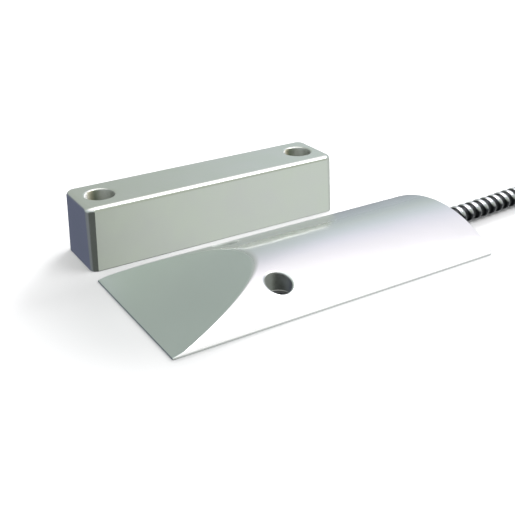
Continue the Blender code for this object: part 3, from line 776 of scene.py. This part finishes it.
def corner_core(z):
    """The middle of the upright corner's round at this height, and the round's own radius there."""
    corner = block_corner(z) - block_inset(z)
    core_y = BLOCK_WIDTH / 2 - block_inset(z) - corner * math.cos(math.radians(BLOCK_GROUND))
    return BLOCK_LENGTH / 2 - block_inset(z) - corner, core_y, corner


def outward(place, middle):
    """The level way out of the block's wall at a point of a face, or none where the face isn't on it."""
    near = SINK_LIP / 4
    core_x, core_y, corner = corner_core(middle.z)
    inset = block_inset(middle.z)
    along, across = abs(middle.x), abs(middle.y)
    side = Vector((math.copysign(1, middle.x), math.copysign(1, middle.y), 0.0))
    if along < core_x + corner * math.sin(math.radians(BLOCK_GROUND)):
        return Vector((0, side.y, 0)) if across > BLOCK_WIDTH / 2 - inset - near else None
    if across < core_y:
        return Vector((side.x, 0, 0)) if along > BLOCK_LENGTH / 2 - inset - near else None
    core_x, core_y, corner = corner_core(place.z)
    out = Vector((abs(place.x) - core_x, max(abs(place.y) - core_y, 0.0), 0.0))
    return Vector((out.x * side.x, out.y * side.y, 0.0)).normalized()


def block_normals(mesh):
    """Shading from the block's own planes and rounds, and from the lips of its holes."""
    least_lift = math.sin(math.atan(BLOCK_DRAFT))
    level_face = 0.9995
    normals = []
    for face in mesh.polygons:
        middle = face.center - BLOCK_PLACE
        from_hole = Vector((abs(middle.x) - BLOCK_HOLE, middle.y, 0.0)).length
        on_lip = from_hole < SINK_RADIUS + SINK_LIP and middle.z > BLOCK_HEIGHT - SINK_LIP
        for loop in face.loop_indices:
            place = mesh.vertices[mesh.loops[loop].vertex_index].co - BLOCK_PLACE
            normal = Vector((0.0, 0.0, 0.0))
            if face.normal.z > level_face:
                normal = Vector((0.0, 0.0, 1.0))
            elif on_lip:
                inward = Vector((math.copysign(BLOCK_HOLE, place.x) - place.x, -place.y, 0.0))
                level = min(max((SINK_RADIUS + SINK_LIP - inward.length) / SINK_LIP, 0.0), 1.0)
                normal = inward.normalized() * level + Vector((0, 0, math.sqrt(1 - level * level)))
            elif from_hole > SINK_RADIUS + SINK_LIP and middle.z > BLOCK_FOOT:
                out = outward(place, middle)
                if out is not None:
                    lift = min(max((place.z - block_shoulder) / BLOCK_ROUND, least_lift), 1.0)
                    normal = out * math.sqrt(1 - lift * lift) + Vector((0, 0, lift))
            normals.append(normal)
    mesh.normals_split_custom_set(normals)


block = block_shell()
cut_away(block, [counterbore(-1), counterbore(1), cavity_cutter()], 30)
block_normals(block.data)
satin_cast = skinned(
    "satin cast aluminium",
    patches=0.009,
    grain=(0.0005, 0.04),
    colours=((0.875, 0.905, 0.835), (0.900, 0.910, 0.880)),
    roughness=(0.20, 0.26),
    depth=0.00002,
)


def colour_ramp(tree, share, stops):
    """Colours over a share. Each stop gives its share and its colour."""
    ramp = add_node(tree, "ShaderNodeValToRGB", {"Fac": share})
    elements = ramp.color_ramp.elements
    while len(elements) < len(stops):
        elements.new(0.5)
    for element, (place, colour) in zip(elements, stops):
        element.position = place
        element.color = (*colour, 1)
    return ramp.outputs[0]


def bored_light_and_shade():
    """The drilled walls, painted light on the left of each bore and painted shade to the right, with dull
    patches.
    """
    finish, shader = new_finish("drilled aluminium", metallic=0.6, Roughness=0.45)
    tree = finish.node_tree
    inputs = {"Patch Size": 0.002, "Grain Size": 0.0002}
    skin = add_node(tree, "ShaderNodeGroup", inputs, node_tree=cast_skin)
    from_middle = worked(tree, "SUBTRACT", parts_of(tree, own_place(tree))["X"], BLOCK_PLACE.x)
    end = worked(tree, "SIGN", from_middle)
    from_hole = worked(tree, "MULTIPLY_ADD", end, -BLOCK_HOLE, from_middle)
    across = spread(tree, from_hole, -SINK_RADIUS, SINK_RADIUS)
    # Painted light and shade across the bore, from its left wall to its right.
    stops = [
        (0.00, (0.95, 0.96, 0.97)),
        (0.16, (0.95, 0.95, 0.93)),
        (0.24, (0.74, 0.72, 0.58)),
        (0.38, (0.48, 0.47, 0.34)),
        (0.50, (0.26, 0.30, 0.23)),
        (0.72, (0.42, 0.45, 0.42)),
        (1.00, (0.34, 0.37, 0.35)),
    ]
    worn = spread(tree, skin.outputs["Patches"], 0.0, 1.0, 0.0, 0.25)
    colour = mixed_colour(tree, worn, colour_ramp(tree, across, stops), (0.22, 0.22, 0.18))
    tree.links.new(colour, shader.inputs["Base Color"])
    tree.links.new(spread(tree, across, 0.18, 0.40, 0.0, 0.6), shader.inputs["Metallic"])
    relief(finish, shader, skin.outputs["Height"], 0.00004)
    return finish


bored = bored_light_and_shade()
block.data.materials.clear()
block.data.materials.append(satin_cast)
block.data.materials.append(bored)
for face in block.data.polygons:
    middle = face.center - BLOCK_PLACE
    from_hole = Vector((abs(middle.x) - BLOCK_HOLE, middle.y)).length
    in_bore = from_hole < SINK_RADIUS + DRILLED_LIP
    in_bore = in_bore and FOOT_BEVEL < middle.z < BLOCK_HEIGHT - DRILLED_TOP
    face.material_index = 1 if in_bore else 0
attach(block, "contact_set")
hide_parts("magnet_housing")

ground_magnet, shader = new_finish("ground magnet alloy", metallic=1.0)
drawn = add_node(ground_magnet.node_tree, "ShaderNodeGroup", {"Line Size": 0.00012}, node_tree=drawn_metal)
vary(ground_magnet, shader, drawn.outputs["Lines"], ((0.34, 0.34, 0.35), (0.50, 0.50, 0.51)), (0.32, 0.5))
relief(ground_magnet, shader, drawn.outputs["Lines"], 0.00001)
carried("bar_magnet", ground_magnet)
carried("magnet_potting", resin)


# The armoured conduit is one strip of galvanised steel wound into a flexible hose, with a rounded rib
# and a groove at each turn, the groove painted dark as shade. The casting's clip holds its end. The
# photograph shows its first 28 mm, and the rest lies in a neat coil of three turns beside the switch,
# as it comes from the box.
CONDUIT_DIAMETER = 0.0050
RIB_RADIUS = 0.0026  # near the switch
COIL_RIB_RADIUS = 0.00246  # in the coil
RIB_CHANGE = (0.05, 0.03)  # where along the hose the one goes over into the other, and over what length
CONDUIT_PITCH = 0.0029
FIRST_RIB = -0.0007  # from the hose's start
CONDUIT_FACETS = 24
GROOVE_DEPTH = 0.00055
CROWN_ROUND = 0.00024
RIB_SHARE = 0.25  # of the pitch, on each side of a rib's middle
FLANK_SHARE = 0.09  # of the pitch, from the rib down into the groove
CONDUIT_END = (0.1638, EXIT_Y - 0.0101, 0.00315)
COIL_MIDDLE = (0.137, EXIT_Y + 0.0114)
COIL_RADIUS = 0.0255
TURN_OFFSET = 0.0026  # of the two turns side by side, from the middle of the coil
TURN_HEIGHT = 0.0034

turn_rise = math.sqrt(CONDUIT_DIAMETER**2 - TURN_OFFSET**2)  # of the turn that lies on the two others
turn_lean = math.atan2(TURN_OFFSET, turn_rise)
run_points = [
    (x, EXIT_Y + y, z)
    for x, y, z in (
        (0.03335, 0.0, 0.00265),
        (0.03885, 0.0, 0.00265),
        (0.04435, 0.0, 0.00265),
        (0.0520, 0.0001, 0.00265),
        (0.0620, 0.0005, 0.00265),
        (0.0730, 0.0012, 0.00265),
        (0.0840, 0.0007, 0.00265),
        (0.0940, -0.0020, 0.0027),
        (0.1040, -0.0059, 0.00285),
        (0.1140, -0.0099, 0.0031),
    )
]


def coil_points():
    """The three turns: the outer one, the inner one beside it, and one on both, then the way down."""
    # It climbs this far above the lower turns, settles between them, and leaves from the second height.
    climbing, leaving, last = 0.00535, 0.0052, CONDUIT_END[2]
    # Each change gives its size, the degrees where it starts, and over how many degrees it goes.
    reach_changes = (
        (-2 * TURN_OFFSET, 125, 110),
        (TURN_OFFSET, 510, 100),
        (0.0047, 820, 90),
        (0.0042, 930, 90),
    )
    height_changes = (
        (climbing, 465, 80),
        (turn_rise - climbing, 590, 70),
        (leaving - turn_rise, 800, 60),
        (last - TURN_HEIGHT - leaving, 955, 90),
    )
    points = []
    for degrees in range(-110, 1031, 12):
        reach = COIL_RADIUS + TURN_OFFSET
        reach += sum(size * ease((degrees - start) / over) for size, start, over in reach_changes)
        height = TURN_HEIGHT
        height += sum(size * ease((degrees - start) / over) for size, start, over in height_changes)
        a = math.radians(degrees)
        x, y = COIL_MIDDLE[0] + reach * math.cos(a), COIL_MIDDLE[1] + reach * math.sin(a)
        points.append((x, y, height))
    return points + [CONDUIT_END]


def spaced(line, step):
    """The line again, with points about this far apart."""
    length = sum((b - a).length for a, b in zip(line, line[1:]))
    pieces = max(2, round(length / step))
    places, walked = [line[0]], 0.0
    for a, b in zip(line, line[1:]):
        span = (b - a).length
        while len(places) < pieces and walked + span >= length * len(places) / pieces:
            places.append(a.lerp(b, (length * len(places) / pieces - walked) / span))
        walked += span
    return places + [line[-1]]


def smooth_line(points, step):
    """Points about this far apart on the smooth curve through these."""
    points = [Vector(point) for point in points]
    ends = [2 * points[0] - points[1]] + points + [2 * points[-1] - points[-2]]
    fine = []
    steps = 24
    for before, start, end, after in zip(ends, ends[1:], ends[2:], ends[3:]):
        slope = end - before
        bend = 2 * before - 5 * start + 4 * end - after
        twist = 3 * start - before - 3 * end + after
        for t in (i / steps for i in range(steps)):
            fine.append(0.5 * (2 * start + slope * t + bend * t**2 + twist * t**3))
    return spaced(fine + [points[-1]], step)


def frames_along(line):
    """At each point of a line: the way on, and two ways across that don't twist about it."""
    ways = [(b - a).normalized() for a, b in zip(line, line[1:])]
    ways = [ways[0]] + [(a + b).normalized() for a, b in zip(ways, ways[1:])] + [ways[-1]]
    up = Vector((0, 0, 1))
    frames = []
    for way in ways:
        up = (up - way * up.dot(way)).normalized()
        frames.append((way, up, way.cross(up)))
    return frames


def rib_depth(share):
    """How deep the strip lies under the full radius, by the share of the pitch from a rib's middle."""
    if share <= RIB_SHARE:
        return CROWN_ROUND * (share / RIB_SHARE) ** 2
    return CROWN_ROUND + (GROOVE_DEPTH - CROWN_ROUND) * ease((share - RIB_SHARE) / FLANK_SHARE)


def wound_strip(route):
    """The hose's surface, its lines laid along the wound strip so that each rib is neat."""
    line = smooth_line(route, 0.001)
    frames = frames_along(line)
    walked = [0.0]
    for a, b in zip(line, line[1:]):
        walked.append(walked[-1] + (b - a).length)
    length = walked[-1]
    shares = [-0.5, -0.34, -0.29, -0.25, -0.19, -0.10, 0.0, 0.10, 0.19, 0.25, 0.29, 0.34]
    slimming_start, slimming_length = RIB_CHANGE
    turns = int(length / CONDUIT_PITCH) + 4
    places = []
    for turn in range(-2, turns):
        places += [(FIRST_RIB + (turn + share) * CONDUIT_PITCH, rib_depth(abs(share))) for share in shares]
    rows = []
    for start, depth in places:
        row = []
        for i in range(CONDUIT_FACETS + 1):
            turned = i / CONDUIT_FACETS
            along = min(max(start + turned * CONDUIT_PITCH, 0.0), length)
            low = min(int(along / length * (len(line) - 1)), len(line) - 2)
            while low < len(line) - 2 and walked[low + 1] < along:
                low += 1
            while low > 0 and walked[low] > along:
                low -= 1
            share = (along - walked[low]) / (walked[low + 1] - walked[low])
            centre = line[low].lerp(line[low + 1], share)
            up = frames[low][1].lerp(frames[low + 1][1], share)
            side = frames[low][2].lerp(frames[low + 1][2], share)
            a = math.tau * turned
            slimmed = ease((along - slimming_start) / slimming_length)
            radius = RIB_RADIUS - (RIB_RADIUS - COIL_RIB_RADIUS) * slimmed - depth
            row.append(centre + (up * math.cos(a) + side * math.sin(a)) * radius)
        rows.append(row)
    bm = bmesh.new()
    made = {}
    per_turn = len(shares)
    same_place = 0.000002

    def vertex(k, i):
        if i == CONDUIT_FACETS and k + per_turn < len(rows):
            k, i = k + per_turn, 0
        if (k, i) not in made:
            made[k, i] = bm.verts.new(rows[k][i])
        return made[k, i]

    for k in range(len(rows) - 1):
        # Faces deep in a groove take the groove's painted shade.
        deep = places[k][1] + places[k + 1][1] > GROOVE_DEPTH
        for i in range(CONDUIT_FACETS):
            corners = [vertex(k, i), vertex(k + 1, i), vertex(k + 1, i + 1), vertex(k, i + 1)]
            bm.faces.new(corners).material_index = 1 if deep else 0
    bmesh.ops.remove_doubles(bm, verts=bm.verts, dist=same_place)
    bmesh.ops.dissolve_degenerate(bm, edges=bm.edges, dist=same_place)
    return bm, line


armour_mesh, armour_line = wound_strip(run_points + coil_points())
armour = piece_from("armour", armour_mesh)
armour.data.shade_smooth()

plated_strip = skinned(
    "galvanised strip",
    patches=0.0016,
    grain=(0.0002, 0.5),
    colours=((0.90, 0.90, 0.92), (0.96, 0.96, 0.98)),
    roughness=(0.16, 0.24),
    depth=0.00001,
)
# The grooves are painted near black, as painted shade between the ribs.
groove_painted_shade = skinned(
    "painted groove shade",
    patches=0.0016,
    grain=(0.0002, 0.5),
    colours=((0.035, 0.036, 0.038), (0.07, 0.07, 0.075)),
    roughness=(0.3, 0.5),
    depth=0.00001,
)


def paint_underside_shade(finish, shade):
    """Below its middle the hose is painted dark, as painted shade on its underside."""
    tree = finish.node_tree
    colour = tree.nodes["Principled BSDF"].inputs["Base Color"]
    facing = parts_of(tree, add_node(tree, "ShaderNodeNewGeometry").outputs["Normal"])["Z"]
    upper = spread(tree, facing, 0.10, 0.50)
    tree.links.new(mixed_colour(tree, upper, shade, colour.links[0].from_socket), colour)


paint_underside_shade(plated_strip, (0.035, 0.035, 0.042))
armour.data.materials.append(plated_strip)
armour.data.materials.append(groove_painted_shade)
armour.visible_glossy = False
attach(armour, "contact_set")
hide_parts("conduit_run", "conduit_coil", "conduit_tail")


# A bushing of moulded black vinyl is pressed into the cut end of the conduit. Its flange covers the
# edge of the strip, so that it can't cut the wires.
BUSHING_LENGTH = 0.0045
BUSHING_BORE = 0.00175
BUSHING_NOSE = 0.00225
FLANGE_RADIUS = 0.0030
FLANGE_THICKNESS = 0.0008
SEAT_GAP = 0.0003  # between pieces that lie against each other
BEFORE_END = (0.1582, EXIT_Y - 0.0157, 0.00345)  # where the conduit's line comes from to its end
end_way = (Vector(CONDUIT_END) - Vector(BEFORE_END)).normalized()


def bushing_mesh():
    soft, fillet, taper, facets = 0.00018, 0.0003, 0.00008, 48
    profile = [(BUSHING_BORE + soft, 0.0), (FLANGE_RADIUS - soft, 0.0)]
    profile += arc((FLANGE_RADIUS - soft, soft), soft, -60, 0, 3)
    profile += arc((FLANGE_RADIUS - soft, FLANGE_THICKNESS - soft), soft, 0, 90, 4)
    profile += [(BUSHING_NOSE + fillet, FLANGE_THICKNESS)]
    profile += [(BUSHING_NOSE + taper, FLANGE_THICKNESS + fillet)]
    profile += arc((BUSHING_NOSE - soft, BUSHING_LENGTH - soft), soft, 0, 80, 4)
    profile += [(BUSHING_BORE + soft / 2, BUSHING_LENGTH), (BUSHING_BORE, BUSHING_LENGTH - soft)]
    profile += [(BUSHING_BORE, soft)]
    facing = end_way.to_track_quat("Z", "Y")
    start = Vector(CONDUIT_END) + end_way * SEAT_GAP
    rings = []
    for radius, height in profile:
        ring = [Vector((u, v, height)) for u, v in circle(radius, facets)]
        rings.append([start + facing @ point for point in ring])
    return loft(rings, closed=True)


bushing = piece_from("bushing", bushing_mesh(), 40)
moulded_vinyl = insulation("moulded black vinyl", (0.014, 0.014, 0.015), (0.030, 0.030, 0.032))
bushing.data.materials.append(moulded_vinyl)
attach(bushing, "contact_set")
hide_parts("conduit_bushing")


# A nylon tie is pulled tight round the three turns: a toothed band, its moulded head with the slot
# that the band comes back through, and the cut end of the band.
TIE_ANGLE = math.radians(40.0)
TIE_WIDTH = 0.0035
TIE_THICKNESS = 0.0004
TIE_HEAD = (0.0026, 0.0048, 0.0042)  # out from the turns, along the coil, and along the band
TOOTH_PITCH = 0.0008
TOOTH_HEIGHT = 0.00010
SLOT_SIZE = (0.0008, 0.0038, 0.0080)  # long enough to go right through the head
STUB_LENGTH = 0.0034
STUB_PLACE = (0.0004, 0.0, 0.0011)  # the middle of the band's cut end, from the middle of the head


def round_the_turns(radius, steps):
    """Points of (u, v) round the three turns, one on the two others, u away from the coil's middle."""
    lean = math.degrees(turn_lean)
    outline = arc((TURN_OFFSET, 0.0), radius, -90, lean, steps)
    outline += arc((0.0, turn_rise), radius, lean, 180 - lean, steps)
    outline += arc((-TURN_OFFSET, 0.0), radius, 180 - lean, 270, steps)
    return outline


tie_out = Vector((math.cos(TIE_ANGLE), math.sin(TIE_ANGLE), 0.0))
tie_middle = Vector((*COIL_MIDDLE, TURN_HEIGHT)) + tie_out * COIL_RADIUS
tie_frame = Matrix.Translation(tie_middle) @ Matrix.Rotation(TIE_ANGLE, 4, "Z")


def tie_band():
    loop = [Vector(point) for point in round_the_turns(CONDUIT_DIAMETER / 2 + SEAT_GAP, 20)]
    inner = spaced(loop + loop[:1], TOOTH_PITCH / 4)[:-1]
    half, soft = TIE_WIDTH / 2, 0.0001
    teeth, rim = 0.58 * half, 0.62 * half
    rings = []
    for k, point in enumerate(inner):
        on = (inner[(k + 1) % len(inner)] - inner[k - 1]).normalized()
        away = Vector((on.y, -on.x))
        tooth = TOOTH_HEIGHT if k % 4 < 2 else 0.0
        section = [
            (-half, soft),
            (-half, TIE_THICKNESS - soft),
            (-half + soft, TIE_THICKNESS),
            (-rim, TIE_THICKNESS),
            (-teeth, TIE_THICKNESS - tooth),
            (teeth, TIE_THICKNESS - tooth),
            (rim, TIE_THICKNESS),
            (half - soft, TIE_THICKNESS),
            (half, TIE_THICKNESS - soft),
            (half, soft),
            (half - soft, 0.0),
            (-half + soft, 0.0),
        ]
        around = [(across, point + away * out) for across, out in section]
        rings.append([tie_frame @ Vector((place.x, across, place.y)) for across, place in around])
    return loft(rings, closed=True)


def rounded_box(place, sizes, soft):
    """A box of these three sizes with all its edges rounded, about this place."""
    bm = bmesh.new()
    bmesh.ops.create_cube(bm, size=2.0)
    for vert in bm.verts:
        vert.co = Vector([c * size / 2 for c, size in zip(vert.co, sizes)])
    bmesh.ops.bevel(bm, geom=list(bm.edges), offset=soft, segments=3, profile=0.5, affect="EDGES")
    bmesh.ops.transform(bm, matrix=place, verts=bm.verts)
    return bm


head_reach = CONDUIT_DIAMETER / 2 + SEAT_GAP + (TIE_THICKNESS + TIE_HEAD[0]) / 2
head_x = TURN_OFFSET / 2 + head_reach * math.cos(turn_lean)
head_z = turn_rise / 2 + head_reach * math.sin(turn_lean)
head_middle = Matrix.Translation((head_x, 0.0, head_z))
head_frame = tie_frame @ head_middle @ Matrix.Rotation(-turn_lean, 4, "Y")
slot_frame = head_frame @ Matrix.Translation((STUB_PLACE[0], 0, 0))
stub_frame = head_frame @ Matrix.Translation(STUB_PLACE)
stub_size = (TIE_THICKNESS, TIE_WIDTH, STUB_LENGTH)
tie = piece_from("coil_tie_band", tie_band(), 30)
head = piece_from("coil_tie_head", rounded_box(head_frame, TIE_HEAD, 0.0004), 40)
cut_away(head, [piece_from("slot", rounded_box(slot_frame, SLOT_SIZE, 0.0001))], 40)
stub = piece_from("coil_tie_end", rounded_box(stub_frame, stub_size, 0.0001), 40)
nylon = skinned(
    "natural nylon",
    patches=0.003,
    grain=(0.0002, 0.2),
    colours=((0.70, 0.69, 0.63), (0.80, 0.79, 0.74)),
    roughness=(0.3, 0.46),
    depth=0.00003,
    metallic=0.0,
)
for part in (tie, head, stub):
    part.data.materials.clear()
    part.data.materials.append(nylon)
    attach(part, "contact_set")
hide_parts("coil_tie")


# The two wires come out of the bushing and end bare, stripped and tinned, ready for the terminals
# of the alarm's control box. Under the tin are seven twisted strands.
WIRE_DIAMETER = 0.0013
WIRE_SPREAD = 0.0016
TIP_LENGTH = 0.0060
STRANDS = 7
STRAND_RADIUS = 0.000115
STRAND_TWIST = 0.0035  # length of one turn of the strands
DOME = (0.25, 0.80)  # its depth and its least width, as shares of a wire's radius
# The y of these is measured from the line of the conduit's exit.
wire_ways = {
    "red": [
        (0.1702, -0.0012, 0.0016),
        (0.1720, 0.0049, 0.0009),
        (0.1722, 0.0117, 0.00075),
        (0.1710, 0.0184, 0.00075),
        (0.1696, 0.0250, 0.00075),
        (0.1687, 0.0312, 0.00075),
        (0.1668, 0.0366, 0.00075),
    ],
    "black": [
        (0.1726, -0.0030, 0.0016),
        (0.1754, 0.0028, 0.0009),
        (0.17652, 0.0094, 0.00075),
        (0.1760, 0.0162, 0.00075),
        (0.1742, 0.0227, 0.00075),
        (0.1736, 0.0290, 0.00075),
        (0.1748, 0.0348, 0.00075),
    ],
}


def round_wire(line, radius, facets):
    """A round bar along these points, its ends domed a little."""
    rings = []
    depth, least = DOME
    for k, (centre, (way, up, side)) in enumerate(zip(line, frames_along(line))):
        shapes = [(centre, 1.0)]
        if k == 0:
            shapes = [(centre, least), (centre + way * radius * depth, 1.0)]
        elif k == len(line) - 1:
            shapes = [(centre - way * radius * depth, 1.0), (centre, least)]
        for middle, width in shapes:
            rings.append([middle + (up * u + side * v) * radius * width for u, v in circle(1.0, facets)])
    return loft(rings)


def twisted_tip(line):
    """The tinned strands, laid round the last of them."""
    frames = frames_along(line)
    mesh = bmesh.new()
    around = STRANDS - 1
    for strand in range(STRANDS):
        own = []
        for centre, (way, up, side) in zip(line, frames):
            walked = (centre - line[0]).length
            a = math.tau * (walked / STRAND_TWIST + strand / around)
            reach = 0.0 if strand == around else 2 * STRAND_RADIUS
            own.append(centre + (up * math.cos(a) + side * math.sin(a)) * reach)
        one = round_wire(own, STRAND_RADIUS, 10)
        held = bpy.data.meshes.new("strand")
        one.to_mesh(held)
        one.free()
        mesh.from_mesh(held)
        bpy.data.meshes.remove(held)
    return mesh


tinned = skinned(
    "tinned copper",
    patches=0.0005,
    grain=(0.0001, 0.5),
    colours=((0.70, 0.70, 0.69), (0.86, 0.86, 0.86)),
    roughness=(0.18, 0.34),
    depth=0.00001,
)

across = Vector((end_way.y, -end_way.x, 0.0)).normalized()
for name, side, finish in (("red", -1, red_vinyl), ("black", 1, black_vinyl)):
    start = Vector(CONDUIT_END) + across * (side * WIRE_SPREAD / 2)
    inside = [start + end_way * 2 * SEAT_GAP, start + end_way * (BUSHING_LENGTH + SEAT_GAP)]
    outside = [(x, EXIT_Y + y, z) for x, y, z in wire_ways[name]]
    line = smooth_line(inside + outside, 0.0008)
    wire = piece_from("free_wire_" + name, round_wire(line, WIRE_DIAMETER / 2, 20), 60)
    onward = (line[-1] - line[-2]).normalized()
    steps = 24
    tip_line = [line[-1] + onward * (SEAT_GAP + TIP_LENGTH * i / steps) for i in range(steps + 1)]
    tip = piece_from("stripped_tip_" + name, twisted_tip(tip_line), 60)
    for part, coat, node, slot_name in (
        (wire, finish, "tail_wire_" + name, name + "_insulation"),
        (tip, tinned, "tail_tip_" + name, "tin"),
    ):
        part.data.materials.append(coat)
        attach(part, "contact_set")
        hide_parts(node)


# The floor is plain and pale, with a soft shade painted under the left half of the pair. Two round
# lamps hang above it, one far to the right. Diffuse light sees a plain white room, and only metal
# mirrors the studio, which is bright overhead, dim on the left, and has a few soft panels round it.
SHADE_SCALE = (38.46, 33.33, 1.0)  # it reaches 26 mm along X and 30 mm along Y
SHADE_SHIFT = (1.615, 0.400, 0.0)  # its middle is 42 mm left of the origin and 12 mm in front of it
SHADE_EDGE = (0.25, 1.45)  # from full shade to open floor, as shares of that reach

bpy.ops.mesh.primitive_plane_add(size=4.0, location=(0, 0, -0.00003))
floor = bpy.context.object
floor.name = "floor"
floor.visible_glossy = False
pale, shader = new_finish("pale floor", Roughness=0.9)
tree = pale.node_tree
inputs = {"Vector": own_place(tree), "Location": SHADE_SHIFT, "Scale": SHADE_SCALE}
around = add_node(tree, "ShaderNodeMapping", inputs).outputs[0]
away = add_node(tree, "ShaderNodeVectorMath", {0: around}, operation="LENGTH").outputs["Value"]
open_floor = spread(tree, away, *SHADE_EDGE, course="SMOOTHSTEP")
colour = mixed_colour(tree, open_floor, (0.612, 0.620, 0.620), (0.9, 0.9, 0.905))
tree.links.new(colour, shader.inputs["Base Color"])
floor.data.materials.append(pale)

studio = bpy.data.worlds.new("studio")
bpy.context.scene.world = studio
studio.use_nodes = True
tree = studio.node_tree
tree.nodes.clear()
way = add_node(tree, "ShaderNodeTexCoord").outputs["Generated"]
level = spread(tree, parts_of(tree, way)["Z"], -1.0, 1.0)
bands = [
    (-1.0, (0.02, 0.02, 0.025)),
    (-0.5, (0.12, 0.13, 0.14)),
    (-0.1, (0.33, 0.35, 0.37)),
    (0.1, (0.42, 0.47, 0.47)),
    (0.3, (0.52, 0.58, 0.57)),
    (0.48, (0.65, 0.71, 0.74)),
    (0.62, (0.84, 0.84, 0.92)),
    (0.74, (1.02, 0.99, 1.04)),
    (0.85, (1.25, 1.22, 1.25)),
    (1.0, (1.4, 1.4, 1.4)),
]
shade = colour_ramp(tree, level, [((height + 1) / 2, colour) for height, colour in bands])
# Each panel gives the way to its middle, the angles where it begins and is full, and its colour.
panels = [
    ((-0.25, 0.80, 0.55), 50, 30, (0.42, 0.455, 0.425)),
    ((0.21, -0.77, 0.61), 28, 12, (0.52, 0.58, 0.55)),
    ((0.46, -0.87, -0.15), 55, 30, (0.42, 0.455, 0.395)),
    ((0.70, -0.62, -0.33), 37, 8, (0.63, 0.67, 0.65)),
    ((-0.474, 0.767, -0.432), 45, 25, (0.118, 0.130, 0.195)),
    ((-0.86, 0.30, -0.42), 24, 8, (0.165, 0.180, 0.200)),
    ((-0.52, -0.74, -0.42), 51, 39, (0.083, 0.092, 0.088)),
    ((0.90, 0.08, -0.42), 50, 30, (0.52, 0.55, 0.54)),
]
for middle, wide, narrow, colour in panels:
    inputs = {0: way, 1: Vector(middle).normalized()}
    near = add_node(tree, "ShaderNodeVectorMath", inputs, operation="DOT_PRODUCT").outputs["Value"]
    edge, full = math.cos(math.radians(wide)), math.cos(math.radians(narrow))
    shade = mixed_colour(tree, spread(tree, near, edge, full, course="SMOOTHSTEP"), shade, colour)
mirrored = add_node(tree, "ShaderNodeBackground", {"Color": shade, "Strength": 1.0})
plain = add_node(tree, "ShaderNodeBackground", {"Color": (1.0, 1.0, 1.0, 1), "Strength": 0.85})
kind = add_node(tree, "ShaderNodeLightPath")
either = add_node(tree, "ShaderNodeMixShader", {0: kind.outputs["Is Glossy Ray"]})
tree.links.new(plain.outputs[0], either.inputs[1])
tree.links.new(mirrored.outputs[0], either.inputs[2])
out = tree.nodes.new("ShaderNodeOutputWorld")
tree.links.new(either.outputs[0], out.inputs[0])


def round_lamp(name, size, energy, place):
    """A soft lamp at this place that points at the origin."""
    lamp = bpy.data.lights.new(name, "AREA")
    lamp.shape = "DISK"
    lamp.size = size
    lamp.energy = energy
    hung = bpy.data.objects.new(name, lamp)
    bpy.context.scene.collection.objects.link(hung)
    hung.location = place
    hung.rotation_euler = (-hung.location).to_track_quat("-Z", "Y").to_euler()
    return hung


round_lamp("overhead panel", 0.40, 1.5, (0.28, -0.16, 0.55))
window = round_lamp("window light", 0.45, 5.0, (0.50, 0.34, 0.24))
window.visible_glossy = False

bpy.context.scene.view_settings.view_transform = "Standard"

CAMERA_PLACE = Vector((-0.10118, -0.15698, 0.09044))
CAMERA_TURN, CAMERA_TILT, CAMERA_ROLL = -31.352, 26.242, -0.646
CAMERA_LENS = 57.12
azimuth, elevation, roll = (math.radians(a) for a in (CAMERA_TURN, CAMERA_TILT, CAMERA_ROLL))
level = math.cos(elevation)
back = Vector((math.sin(azimuth) * level, -math.cos(azimuth) * level, math.sin(elevation)))
right = Vector((0, 0, 1)).cross(back).normalized()
up = back.cross(right)
rolled_right = right * math.cos(roll) + up * math.sin(roll)
rolled_up = up * math.cos(roll) - right * math.sin(roll)
lens = bpy.data.cameras.new("camera")
lens.lens = CAMERA_LENS
lens.sensor_width = 36.0
lens.clip_start = 0.01
camera = bpy.data.objects.new("camera", lens)
bpy.context.scene.collection.objects.link(camera)
turn = Matrix((rolled_right, rolled_up, back)).transposed().to_4x4()
camera.matrix_world = Matrix.Translation(CAMERA_PLACE) @ turn
bpy.context.scene.camera = camera
